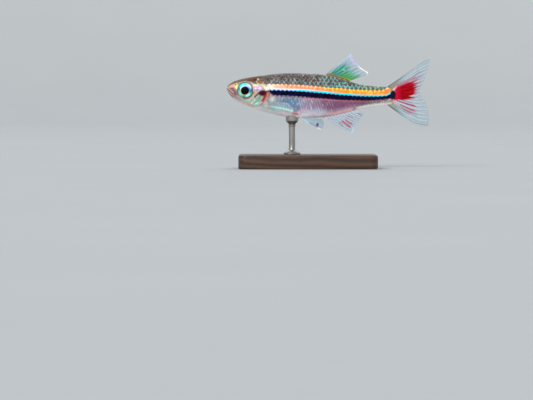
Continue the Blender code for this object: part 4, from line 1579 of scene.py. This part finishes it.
@dataclass
class Eye:
    """One eye: a shallow clear dome over a blue and cream iris and a round black pupil."""

    fish: Fish
    side: Side
    finish: Material
    dome: float = 0.37
    pupil: float = 0.600
    pupil_shift: tuple[float, float] = (-0.01, -0.10)  # (behind, above) from the ball's middle
    rings: int = 64
    spokes: int = 120
    back: tuple = ((0.97, -0.10), (0.80, -0.22), (0.45, -0.30))  # (share of the radius, height over the rim)
    depth: float = 0.32
    iris: tuple = (
        (0, "1c6488"), (38, "a6ecfa"), (78, "46e4fa"), (145, "20d6f4"), (166, "4a8e9c"), (215, "98e4ca"),
        (242, "88c4ae"), (264, "587878"), (284, "92fff0"), (310, "b0fff6"),
    )
    ring: tuple = (
        (0, "8c9ade"), (38, "b4bcf0"), (75, "fbeef2"), (150, "fff2e6"), (182, "c2d2bc"), (212, "86b898"),
        (250, "a49c70"), (290, "a6dcc0"),
    )

    def build(self) -> None:
        """Makes the eye in place of its solid."""
        out = np.linspace(0, 1, self.rings + 1)[1:, None]
        share, depth = np.array(self.back).T[..., None]
        inward = np.vstack([1 - out**2, 0 * share])
        height = np.vstack([self._height(out * EYE_RADIUS), depth])
        out = np.vstack([out, share]) * EYE_RADIUS
        round_ = once_round(self.spokes)
        off_b = out * np.cos(round_) + self.pupil_shift[0] * inward
        off_a = out * np.sin(round_) + self.pupil_shift[1] * inward
        aside = (eye_rim(off_b, off_a) + height) * self.side.value
        grid = joined(EYE_PLACE[0] + off_b, EYE_PLACE[1] + off_a, aside)
        middle = [at + shift for at, shift in zip(EYE_PLACE, self.pupil_shift)]
        front = (*middle, (EYE_RIM_ASIDE + self._height(np.zeros(1))[0]) * self.side.value)
        rear = (*EYE_PLACE, (EYE_RIM_ASIDE - self.depth) * self.side.value)
        flat, faces = closed(front, grid, rear)
        reach = np.concatenate([[0.0], np.repeat(out[:, 0], self.spokes), [0.9]])
        heading = np.concatenate([[0.0], np.tile(round_, len(out)), [0.0]])
        name = self.side.label
        piece = Piece("eyeball_" + name, self.fish.place(flat), faces, self._paints(reach, heading))
        piece.make(self.finish, "eye", "eye_" + name)

    def _height(self, out: Array) -> Array:
        """The dome over the rim: a flat ball's cap, with the lens standing a little out of the pupil.

        Args:
            out: distances from the eye's middle.

        Returns:
            Millimetres.
        """
        cap = self.dome * np.sqrt(np.clip(1 - (out / (EYE_RADIUS * 1.02)) ** 2, 0, 1))
        lens = 0.035 * np.sqrt(np.clip(1 - (out / self.pupil) ** 2, 0, 1))
        return cap + lens - 0.018 * bell(out - self.pupil, 0.05)

    def _paints(self, out: Array, heading: Array) -> dict[str, Array]:
        """Colours by ring and by heading, where heading 0 looks back and a quarter turn looks up.

        Args:
            out: distances from the eye's middle.
            heading: headings in radians.

        Returns:
            The paints that EyeFinish reads.
        """
        heading = (heading + math.pi) % TURN - math.pi
        turned = np.degrees(heading)
        black = rise(self.pupil + 0.012, self.pupil - 0.012, out)
        colour = layered(
            self._round(self.iris, turned),
            (self._round(self.ring, turned), bell(out - 0.672, 0.062)),
            ("2c6cf0", bell(out - 0.66, 0.05) * bell(turned - 18, 34) * 0.85),
            ("b07a3c", bell(out - 0.61, 0.03) * bell(turned + 105, 50) * 0.8),
            ("3c8aa6", bell(out - 0.79, 0.03) * bell(turned - 115, 45) * 0.6),
            ("2f6f58", bell(np.hypot((turned + 18) / 13, (out - 0.84) / 0.12), 1.0) * 0.8),
            # A painted highlight: a white glint on the upper rear of the iris.
            ("ffffff", bell(np.hypot((turned - 46) / 22, (out - 0.93) / 0.13), 1.0)),
            ("31474a", rise(1.00, 1.08, out) * 0.9),
            ("020203", black),
            ("0c3cc8", bell(out - 0.575, 0.04) * bell(turned - 55, 42) * 0.85),
        )
        return {"paint": colour, "pearl": (1 - black) * 0.8, "round": heading, "out": out}

    @staticmethod
    def _round(stops: Sequence[tuple[float, str]], turned: Array) -> Array:
        """Colours read from a ring of stops.

        Args:
            stops: each a heading in degrees and a colour.
            turned: the headings to read, in degrees.

        Returns:
            The colours.
        """
        at, codes = zip(*stops)
        colours = np.array([linear(code) for code in codes])
        return np.stack([np.interp(turned, at, part, period=360) for part in colours.T], axis=-1)


@dataclass(frozen=True)
class FinView(Places):
    """What a fin's colours depend on, at each point of its grid."""

    across: Array
    along: Array
    ray: Array
    number: Array  # the ray's number, with fractions between rays


@dataclass
class Fin:
    """A clear fin: a thin membrane over branched rays that stand out of both its faces.

    The middle surface runs in straight lines from a smooth curve of roots to one of tips, bowed forward,
    and swept out aside by one less the square of one less the share along.
    """

    fish: Fish
    finish: Material
    name: str
    solids: tuple[str, ...]
    roots: tuple
    tips: tuple
    rays: int
    bow: tuple[float, float] = (0.0, 0.0)
    aside: tuple[float, float] = (0.0, 0.0)
    side: int = 0
    plain_rays: int = 1  # unbranched ones at the leading edge
    fork: tuple[float, float] = (0.38, 0.68)  # shares along where the rays branch once, and again
    columns_per_ray: int = 14
    rows: int = 52
    membrane: float = 0.014
    ray_height: float = 0.060
    wave: float = 0.05
    slot: str = "clear_fin"

    def middle(self, across: Array, along: Array) -> Array:
        """The middle surface.

        Args:
            across: shares from the first ray to the last.
            along: shares from root to tip.

        Returns:
            (behind, above, aside).
        """
        roots, tips = (through(curve, across * (len(curve) - 1)) for curve in (self.roots, self.tips))
        run = tips - roots
        square = np.stack([-run[..., 1], run[..., 0]], axis=-1) / np.linalg.norm(run, axis=-1, keepdims=True)
        bow = (self.bow[0] + (self.bow[1] - self.bow[0]) * across)[..., None]
        flat = roots + run * along[..., None] + square * bow * self.bow_profile(across, along)[..., None]
        sweep = 1 - (1 - along) ** 2
        out = (self.aside[0] + (self.aside[1] - self.aside[0]) * sweep) * self.side
        out = out + self.wave * np.sin(9 * across + 4 * along) * along**1.5
        return np.concatenate([flat, out[..., None]], axis=-1)

    def bow_profile(self, across: Array, along: Array) -> Array:
        """How a ray's bow is spread along it: a plain arch, 0 at both ends and 1 halfway."""
        return 4 * along * (1 - along)

    def ray_relief(self, across: Array, along: Array) -> Array:
        """How much of a ray lies at a place: the highest of its four branches there.

        The branches part from the ray's line at the two forks, and each is a round ridge that narrows.

        Args:
            across: shares from the first ray to the last.
            along: shares from root to tip.

        Returns:
            Values from 0 to 1.
        """
        place = across * (self.rays - 1)
        nearest = np.round(place)
        branched = nearest >= self.plain_rays
        first = 0.235 * rise(self.fork[0], 1.15, along) * branched
        second = 0.125 * rise(self.fork[1], 1.2, along) * branched
        radius = 0.125 - 0.035 * rise(0.1, self.fork[0], along) - 0.045 * rise(self.fork[0], 1.0, along)
        radius = np.where(branched, radius, radius * 1.25)
        best = np.zeros(across.shape)
        for one, two in ((-1, -1), (-1, 1), (1, -1), (1, 1)):
            off = place - nearest - one * first - two * second
            best = np.maximum(best, np.sqrt(np.clip(1 - (off / radius) ** 2, 0, 1)))
        return best

    def tint(self, v: FinView) -> tuple[Array, Array]:
        """The colour, and the density from 0, clear, to 1. Each kind of fin has its own."""
        raise NotImplementedError

    def build(self) -> None:
        """Makes the fin in place of its solids."""
        columns = (self.rays - 1) * self.columns_per_ray + 1
        across, along = np.meshgrid(np.linspace(0, 1, columns), np.linspace(0, 1, self.rows), indexing="ij")
        ray = self.ray_relief(across, along)
        margin = 1 - 0.012 * (1 - ray) * rise(0.85, 1.0, along)
        middle = self.middle(across, along * margin)
        half = self.membrane * (1 - 0.5 * rise(0.8, 1.0, along))
        half = half + self.ray_height * ray * (1 - 0.72 * along) * rise(1.0, 0.86, along)
        offset = surface_normals(middle) * (half * rise(1.03, 0.93, along) + 0.004)[..., None]
        flat = np.concatenate([sheet.reshape(-1, 3) for sheet in (middle + offset, middle - offset)])
        length = np.linalg.norm(self.middle(across, 0 * along + 1) - self.middle(across, 0 * along), axis=-1)
        number = across * (self.rays - 1)
        colour, dense = self.tint(FinView(*np.moveaxis(middle, -1, 0), across, along, ray, number))
        paints = {"paint": colour, "dense": np.clip(dense, 0, 1), "ray": ray, "along": along * length}
        doubled = {key: np.concatenate([v.reshape(-1, *v.shape[2:])] * 2) for key, v in paints.items()}
        piece = Piece(self.name, self.fish.place(flat), [slab_faces(columns, self.rows)], doubled)
        piece.make(self.finish, self.slot, *self.solids)


class DorsalFin(Fin):
    """The back fin: green streaks in a clear fin, an olive foot, and a broken lilac-white margin."""

    # A painted highlight: a small pale glint on the fin's membrane.
    painted_glint = Patch(16.90, 3.62, 0.13, 0.10, "c8ecdc", 0.7)

    def tint(self, v: FinView) -> tuple[Array, Array]:
        """The flesh's outline crosses the rays at a share along that grows from the first to the last.

        Args:
            v: the fin's grid.

        Returns:
            The colour, and how dense it is.
        """
        up = v.along - (0.22 + 0.18 * v.across)
        ragged = 0.06 * np.sin(5.2 * v.number) + 0.05 * uneven(v.number, v.along * 4, 0.8, 41)
        reach = 0.93 - 0.06 * v.across - v.along + ragged
        green = rise(0.0, 0.34, reach) * rise(0.02, 0.12, v.across)
        streak = 0.5 + 0.5 * np.cos(TURN * (v.number + 0.12 * np.sin(9 * v.along)))
        lush = rise(0.50, 0.05, up) * rise(0.25, 0.6, v.across)
        tone = layered(
            mixed("2f8a88", "2c9166", rise(0.15, 0.6, v.across)),
            ("50964a", 0.65 * lush + 0.20 * streak),
            ("9cd8c4", rise(0.55, 1.0, streak) * rise(0.03, 0.3, up) * 0.6),
        )
        foot, lead = rise(0.075, 0.035, up), rise(0.040, 0.0, v.across)
        wide = 0.078 - 0.040 * rise(0.15, 0.5, v.across)
        wide = wide * (1 - 0.60 * bell(v.across - 0.415, 0.045) + 0.35 * bell(v.across - 0.335, 0.022))
        rim = rise(1 - wide - 0.02, 1 - wide + 0.006, v.along) * rise(1.0, 0.93, v.across)
        colour = layered(
            mixed("a2c0d6", "748c9c", v.ray * 0.8),
            (tone, green),
            *v.layers(self.painted_glint),
            (mixed("93884c", "a8c41a", rise(0.35, 0.9, v.across)), foot),
            ("8c5a26", rise(0.040, 0.010, up) * rise(0.05, 0.3, v.across)),
            (mixed("c2c8f4", "fbfcff", rise(0.3, 0.55, v.across)), rim),
            (mixed("8a8480", "c8e0ee", rise(0.35, 0.6, v.along)), lead * 0.9),
        )
        dense = 0.18 + 0.24 * v.ray + (0.64 + 0.12 * streak) * green + 0.5 * foot + 0.45 * lead
        broken = 0.75 + 0.25 * np.sin(31 * v.across + 2.0)
        return colour, np.maximum(dense, rim * broken * (0.70 + 0.40 * rise(0.3, 0.5, v.across)))


class AnalFin(Fin):
    """The fin under the tail: clear and bluish, with red strokes and white ticks at the rays' feet."""

    strokes = (
        Streak(((16.50, -3.64), (17.20, -4.20), (17.95, -4.70)), 0.12, "c02c38"),
        Streak(((17.05, -3.58), (17.60, -3.96), (18.22, -4.28)), 0.10, "bc3c4a"),
        Streak(((16.10, -3.86), (16.50, -4.24), (16.90, -4.66)), 0.09, "bc6c74", 0.8),
        Streak(((17.35, -2.97), (17.80, -3.14), (18.30, -3.30)), 0.08, "a84c64", 0.7),
        Streak(((18.85, -2.62), (19.20, -2.82), (19.60, -3.00)), 0.08, "9c4c68", 0.7),
        Streak(((16.9, -3.30), (17.5, -3.50), (18.4, -3.86)), 0.06, "a05068", 0.4),
    )

    def tint(self, v: FinView) -> tuple[Array, Array]:
        """The ticks lie just under the flesh's lower outline.

        Args:
            v: the fin's grid.

        Returns:
            The colour, and how dense it is.
        """
        under = -v.flesh()[1]
        tick = rise(0.36, 0.26, under) * rise(-0.1, 0.02, under) * rise(0.0, 0.5, v.ray)
        tip = rise(0.93, 0.99, v.along) * rise(0.45, 0.1, v.across)
        strokes = v.layers(*self.strokes)
        colour = layered(mixed("a6c4dc", "7890a8", v.ray), *strokes, ("f8fcff", tick), ("d8ecfa", tip))
        dense = 0.20 + 0.30 * v.ray + 0.6 * sum(mask for _, mask in strokes)
        return colour, dense + 0.8 * tick + 0.25 * tip + 0.3 * rise(0.10, 0.0, under)


class TailFin(Fin):
    """The forked tail fin: a deep red fan over its middle, strokes along single rays, and clear lobes."""

    # (the ray's number, how far along it the red reaches), where ray 0 is the top edge and 18 the bottom one
    red_reach = (
        (2.2, -0.2), (2.8, 0.44), (4.0, 0.55), (5.0, 0.67), (6.0, 0.80), (6.8, 0.78), (7.4, 0.86),
        (8.0, 0.80), (8.6, 0.88), (9.2, 0.80), (9.75, 0.64), (10.3, 0.80), (10.8, 0.60), (11.4, 0.50),
        (12.0, 0.33), (12.4, -0.2),
    )
    # (the ray's number, start and end along it, strength, colour)
    strokes = (
        (12.8, 0.20, 0.71, 1.0, "b42c4c"),
        (11.9, 0.38, 0.63, 0.4, "6c6a98"),
        (14.3, 0.32, 0.71, 0.95, "b43848"),
        (15.35, 0.36, 0.64, 0.95, "b0404c"),
        (15.4, 0.66, 0.74, 0.5, "665466"),
        (16.1, 0.45, 0.55, 0.4, "8c5058"),
        (3.5, 0.46, 0.70, 0.8, "b84060"),
        (2.8, 0.64, 0.84, 0.5, "8a6a90"),
        (4.3, 0.60, 0.88, 0.55, "964a70"),
        (4.9, 0.62, 0.78, 0.8, "b43454"),
    )

    def bow_profile(self, across: Array, along: Array) -> Array:
        """The top edge swells only near its tip, and the bottom one over its whole length."""
        upper, lower = 12.2 * along**4 * (1 - along), 1.87 * along * (1 - along**4)
        return upper + (lower - upper) * rise(0.3, 0.7, across)

    def tint(self, v: FinView) -> tuple[Array, Array]:
        """The red fan is frayed from ray to ray, and its upper part is clear between the rays.

        Args:
            v: the fin's grid.

        Returns:
            The colour, and how dense it is.
        """
        at, far = np.array(self.red_reach).T
        frayed = 0.030 * np.sin(9.7 * v.number + 1.0) + 0.030 * np.sin(23.0 * v.number)
        past = v.along - (np.interp(v.number, at, far) + 0.045 + 0.13 * (v.ray - 0.5) + frayed)
        red = rise(0.05, -0.04, past) * rise(23.95, 24.30, v.behind)
        red = red * (1 - 0.55 * rise(5.2, 3.6, v.number) * (1 - v.ray) * rise(0.12, 0.34, v.along))
        tone = layered(
            mixed("cc0a3c", "a00004", rise(3.6, 6.5, v.number) * rise(0.22, 0.40, v.along)),
            ("d0144a", rise(0.35, 0.22, v.along) * 0.8),
            ("c83c60", rise(-0.12, 0.0, past) * 0.5),
            ("70000c", rise(0.5, 0.1, v.ray) * 0.35),
            ("c80c34", 0.5 * rise(0.2, 0.9, uneven(v.number * 2, v.along * 2, 1.0, 61))),
        )
        strokes = [
            (code, strength * self._band(v.along, low, high) * bell(v.number - number, 0.34) * (1 - red))
            for number, low, high, strength, code in self.strokes
        ]
        middle = np.abs(v.number - 0.5 * (self.rays - 1))
        lead = rise(7.9, 8.9, middle)
        veil = rise(5.0, 7.0, middle) * rise(0.62, 0.24, v.along) * (1 - red)
        marks = v.layers(*TAIL_ROOT_MARKS)
        colour = layered(
            mixed("aac6d8", "748a9c", v.ray),
            (tone, red),
            *strokes,
            (mixed("8c9a8c", "93b4b4", rise(0.25, 0.45, v.along)), veil * 0.85),
            (mixed("6a5a50", "8ea8b0", rise(0.28, 0.55, v.along)), lead * 0.9),
            *marks,
        )
        dense = 0.18 + 0.26 * v.ray + 1.10 * red + 0.65 * sum(mask for _, mask in strokes)
        dense = dense + (0.30 + 0.35 * rise(0.55, 0.25, v.along)) * lead + 0.42 * veil
        return colour, dense + sum(mask for _, mask in marks)

    @staticmethod
    def _band(along: Array, low: float, high: float) -> Array:
        """1 between two shares along, with soft ends."""
        return rise(low - 0.05, low + 0.05, along) * rise(high + 0.07, high - 0.05, along)


class PelvicFin(Fin):
    """A belly fin: clear and bluish, with one dusky stroke and a dark wine spot near its edge."""

    dusky = Streak(((11.75, -3.94), (12.45, -4.36), (13.15, -4.72)), 0.08, "44586c", 0.7)
    wine = Patch(13.07, -4.30, 0.16, 0.26, "5c1440", 0.95, -10)

    def tint(self, v: FinView) -> tuple[Array, Array]:
        """The marks lie where they do in side view.

        Args:
            v: the fin's grid.

        Returns:
            The colour, and how dense it is.
        """
        lead = rise(0.16, 0.04, v.across)
        marks = v.layers(self.dusky, self.wine)
        colour = layered(mixed("b0cadc", "7c96aa", v.ray), ("dceef8", lead), *marks)
        return colour, 0.22 + 0.30 * v.ray + 0.25 * lead + 0.45 * marks[0][1] + 0.6 * marks[1][1]


class PectoralFin(Fin):
    """A breast fin: clear as glass, with a bright blue-white leading edge."""

    def tint(self, v: FinView) -> tuple[Array, Array]:
        """Only the first ray and a half is dense."""
        lead = rise(0.24, 0.06, v.across) * (0.72 + 0.28 * uneven(v.behind, v.above, 0.25, 51))
        return mixed(mixed("d0e6ee", "98b0bc", v.ray), "dcfcf8", lead), 0.14 + 0.26 * v.ray + 0.45 * lead


def all_fins(fish: Fish, finish: Material) -> list[Fin]:
    """Every fin, on the same roots and tips as the solids.

    Args:
        fish: where the fish lies.
        finish: the fins' material.

    Returns:
        The fins, not yet built.
    """
    fins: list[Fin] = [
        DorsalFin(
            fish, finish, "fin_dorsal", ("dorsal_fin",),
            roots=((13.35, 2.10), (14.90, 1.75), (16.00, 1.42)),
            tips=(
                (18.02, 6.06), (18.26, 5.28), (18.70, 4.66), (19.25, 4.08), (19.85, 3.64), (20.44, 3.24),
                (20.22, 2.92),
            ),
            rays=9, bow=(0.06, 0.0),
        ),
        AnalFin(
            fish, finish, "fin_anal", ("anal_fin",),
            roots=((13.50, -2.30), (15.40, -2.05), (16.90, -1.80)),
            tips=(
                (18.14, -5.66), (18.38, -4.95), (18.62, -4.28), (19.06, -3.74), (19.42, -3.18),
                (19.82, -2.58),
            ),
            rays=11, bow=(-0.32, 0.0), columns_per_ray=12,
        ),
        TailFin(
            fish, finish, "fin_tail", ("tail_fin_upper", "tail_fin_lower"),
            roots=((22.60, 0.85), (23.20, 0.60), (23.70, 0.10), (23.20, -0.40), (22.50, -0.95)),
            tips=(
                (29.35, 5.24), (29.08, 3.75), (28.50, 2.10), (27.85, 0.42), (28.72, -1.10), (29.12, -2.90),
                (29.10, -4.43),
            ),
            rays=19, bow=(0.20, -0.61), rows=64, slot="red_fin",
        ),
    ]
    for side in Side:
        pectoral = PectoralFin(
            fish, finish, "fin_pectoral_" + side.label, ("pectoral_fin_" + side.label,),
            roots=((5.35, -1.60), (5.20, -1.25), (5.20, -0.90)),
            tips=((9.55, -2.45), (9.60, -1.95), (9.10, -1.45), (8.30, -1.05)),
            rays=9, bow=(0.12, 0.0), aside=(0.75, 3.0), side=side.value, rows=40,
        )
        pelvic = PelvicFin(
            fish, finish, "fin_pelvic_" + side.label, ("pelvic_fin_" + side.label,),
            roots=((9.95, -2.72), (10.55, -2.80), (11.20, -2.95)),
            tips=((13.62, -5.06), (13.92, -4.55), (14.02, -4.00), (13.78, -3.46)),
            rays=7, bow=(-0.15, 0.0), aside=(0.30, 1.15), side=side.value, rows=36,
        )
        fins += [pectoral, pelvic]
    return fins


@dataclass
class StandBase:
    """The flat wooden base: a rounded oblong, swept down a profile with eased edges."""

    finish: Material
    corner: float = 1.2
    ease: float = 0.30
    round_steps: int = 14
    inner_rings: tuple[float, ...] = (0.86, 0.6, 0.3)

    def outline(self, size: Array, inset: float, level: float) -> Array:
        """An oblong with four round corners.

        Args:
            size: its length and breadth before the inset.
            inset: how far it is moved inwards.
            level: its height over the floor.

        Returns:
            Its points.
        """
        radius = max(self.corner - inset, 0.02)
        turn = np.linspace(0, math.pi / 2, self.round_steps)
        reach = size / 2 - inset - radius
        quarters = []
        for k, sign in enumerate(((1, 1), (-1, 1), (-1, -1), (1, -1))):
            round_ = turn + k * math.pi / 2
            corner = np.stack([np.cos(round_), np.sin(round_)], axis=1) * radius + reach * sign
            quarters.append(np.column_stack([corner, np.full(self.round_steps, level)]))
        return np.concatenate(quarters)

    def build(self) -> None:
        """Makes the base in place of its solid, in that solid's box."""
        low, high = (np.array(c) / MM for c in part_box("stand_base"))
        size, height = (high - low)[:2], high[2] - low[2]
        turn = np.linspace(0, math.pi / 2, 7)
        upper = [(self.ease * (1 - math.cos(t)), height - self.ease * (1 - math.sin(t))) for t in turn]
        profile = [(self.ease * 0.5, 0.0), (0.04, self.ease * 0.3), (0.0, self.ease * 0.5), *upper]
        rings = [self.outline(size, inset, level) for inset, level in profile]
        rings += [rings[-1] * (share, share, 1.0) for share in self.inner_rings]
        under, top = (np.array([*(low + high)[:2] / 2, level]) for level in (low[2], high[2]))
        grid = np.stack([rings[0] * (0.5, 0.5, 1.0), *rings]) + under
        flat, faces = closed(under, grid, top)
        piece = Piece("stand_plinth", flat * MM, faces, sharp_angle=math.radians(50))
        piece.make(self.finish, "stand_wood", "stand_base")


@dataclass
class StandRod:
    """The turned steel rod: a stepped foot, a slim stem, and a cup whose lip follows the belly."""

    fish: Fish
    finish: Material
    behind: float = 9.4
    stem: float = 0.46
    foot: float = 1.22
    cup: float = 0.93
    spokes: int = 72

    def profile(self, floor: float, belly: float) -> Array:
        """The outside, from the foot's rim to the lip of the cup.

        Args:
            floor: the height of the base's top.
            belly: the height of the belly.

        Returns:
            (radius, height) of each step.
        """
        stem, foot = self.stem, self.foot
        low, top, collar = floor + 0.90, belly - 1.30, belly - 1.55
        steps = [
            (foot - 0.10, floor),
            (foot, floor + 0.06),
            (foot, floor + 0.26),
            (foot - 0.07, floor + 0.34),
            (foot - 0.30, floor + 0.37),
            (foot - 0.34, floor + 0.44),
            (foot - 0.46, floor + 0.50),
            (stem + 0.10, floor + 0.62),
            (stem, low),
            *((stem, low + (top - low) * share) for share in (0.2, 0.4, 0.6, 0.8, 1.0)),
            (stem + 0.10, collar + 0.30),
            (stem + 0.12, collar + 0.40),
            (stem + 0.02, collar + 0.48),
        ]
        for share in np.linspace(0.15, 1.0, 9):
            swell = math.sin(share * math.pi / 2) ** 1.6
            steps.append((stem + (self.cup - stem) * swell, collar + 0.48 + share * 0.70))
        return np.array(steps)

    def build(self) -> None:
        """Makes the rod in place of its solid, from the base's top to the belly."""
        floor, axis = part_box("stand_base")[1].z / MM, self.fish.axis_z / MM
        belly = float(belly_at(np.array(self.behind), np.array(0.0))) + axis
        profile = self.profile(floor, belly)
        rim, far = profile[-1, 0], belly + 9.0
        inside = [(rim - 0.03, far), (rim - 0.12, far), (rim * 0.6, far), (rim * 0.3, far)]
        radius, height = np.vstack([profile, inside]).T[..., None]
        turn = once_round(self.spokes)
        behind, aside = self.behind + radius * np.cos(turn), radius * np.sin(turn)
        # Every point that would stand in the belly is brought down to it
        above = np.minimum(height, belly_at(behind, aside) + axis + 0.02) - axis
        foot, lip = (self.behind, floor - axis, 0.0), (self.behind, belly - axis, 0.0)
        flat, faces = closed(foot, joined(behind, above, aside), lip)
        piece = Piece("stand_post", self.fish.place(flat), faces, sharp_angle=math.radians(40))
        piece.make(self.finish, "stand_steel", "stand_rod")


@dataclass
class Studio:
    """A plain pale bowl of a floor, soft lamps, and the photograph's own view of the fish."""

    fish: Fish
    frame_px: tuple[int, int] = (533, 400)
    snout_px: float = 227.0
    axis_px: float = 95.0
    mm_per_px: float = 24.0 / 166.0
    distance: float = 0.45
    sensor: float = 36.0
    floor_radius: float = 0.60
    bend_radius: float = 0.32
    wall_height: float = 0.42
    spokes: int = 96
    below: float = 0.00002  # how far the floor lies under the stand
    # (name, where it stands, strength, width in degrees, colour)
    suns: tuple = (
        ("key", (-0.42, -0.74, 0.52), 1.9, 32, "fffaf4"),
        ("low", (0.22, -0.95, -0.30), 1.1, 60, "fdf8f6"),
        ("far", (0.10, 0.78, 0.50), 1.7, 100, "f8faff"),
    )

    def build(self) -> None:
        """Sets the floor, the lamps, the sky and the camera."""
        self._floor()
        self._lamps()
        self._sky()
        self._camera()
        bpy.context.scene.view_settings.view_transform = "Standard"

    def _floor(self) -> None:
        """A disc that curves up into a round wall, so that no view sees an edge."""
        flat, bend = self.floor_radius, self.bend_radius
        turn = np.linspace(0, math.pi / 2, 16)[1:]
        curve = [(flat + bend * math.sin(t), bend * (1 - math.cos(t))) for t in turn]
        profile = [(0.05, 0.0), (0.2, 0.0), (flat, 0.0), *curve, (flat + bend, self.wall_height)]
        radius, height = np.array(profile).T[..., None]
        turn = once_round(self.spokes)
        grid = joined(radius * np.cos(turn), radius * np.sin(turn), height)
        points, faces = closed((0, 0, 0), grid, (0, 0, 0))
        mesh = mesh_of("studio_floor", points[:-1] - (0, 0, self.below), faces[:-1])
        mesh.shade_smooth()
        s = Shader("studio_floor")
        paper = s.mix("b6bbbe", "bbc0c2", s.noise(s.place(), 0.03))
        mesh.materials.append(s.finish(base_color=paper, roughness=0.9, specular_ior_level=0.1))
        floor = linked("studio_floor", mesh)
        floor.visible_shadow = False  # the wall keeps no light off the fish

    def _lamps(self) -> None:
        """Wide soft suns, so that the floor is lit evenly: a key, a low one for the belly, and a far one."""
        for name, towards, strength, width, colour in self.suns:
            light = bpy.data.lights.new(name, "SUN")
            light.energy = strength
            light.angle = math.radians(width)
            light.color = linear(colour)
            lamp = linked(name, light)
            lamp.location = Vector(towards) * 0.5
            self._aim(lamp, -Vector(towards))

    @staticmethod
    def _sky() -> None:
        """An even, pale sky."""
        world = bpy.data.worlds.new("soft_sky")
        world.use_nodes = True
        sky = world.node_tree.nodes["Background"]
        sky.inputs["Color"].default_value = (*linear("eef2f6"), 1.0)
        sky.inputs["Strength"].default_value = 0.55
        bpy.context.scene.world = world

    def _camera(self) -> None:
        """A long lens level with the fish, aimed so that the fish lies where it does in the photograph."""
        across = (self.frame_px[0] / 2 - self.snout_px) * self.mm_per_px
        down = (self.axis_px - self.frame_px[1] / 2) * self.mm_per_px
        target = Vector(self.fish.place(np.array([across, down, 0.0])))
        lens = bpy.data.cameras.new("camera")
        lens.sensor_width = self.sensor
        lens.clip_start = 0.01
        lens.lens = self.sensor * self.distance / (self.frame_px[0] * self.mm_per_px * MM)
        camera = linked("camera", lens)
        camera.location = (target.x, -self.distance, self.fish.axis_z)
        self._aim(camera, target - camera.location)
        bpy.context.scene.camera = camera

    @staticmethod
    def _aim(thing: bpy.types.Object, way: Vector) -> None:
        """Turns a lamp or the camera to face a way."""
        thing.rotation_euler = way.to_track_quat("-Z", "Y").to_euler()


def main() -> None:
    """Dresses the fish and its stand, piece by piece."""
    logging.basicConfig(level=logging.INFO, format="%(name)s: %(message)s")
    log.info("frame: %d solids", len(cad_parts))
    fish = Fish.from_solids()
    Studio(fish).build()
    Skin(fish).build()
    Scales(fish).build()
    eye_finish = EyeFinish().build("eye")
    for side in Side:
        Eye(fish, side, eye_finish).build()
    for fin in all_fins(fish, FinFinish().build("fin")):
        fin.build()
    StandBase(WoodFinish().build("oiled_wood")).build()
    StandRod(fish, SteelFinish().build("turned_steel")).build()
    bpy.context.view_layer.update()


if __name__ == "__main__":
    main()
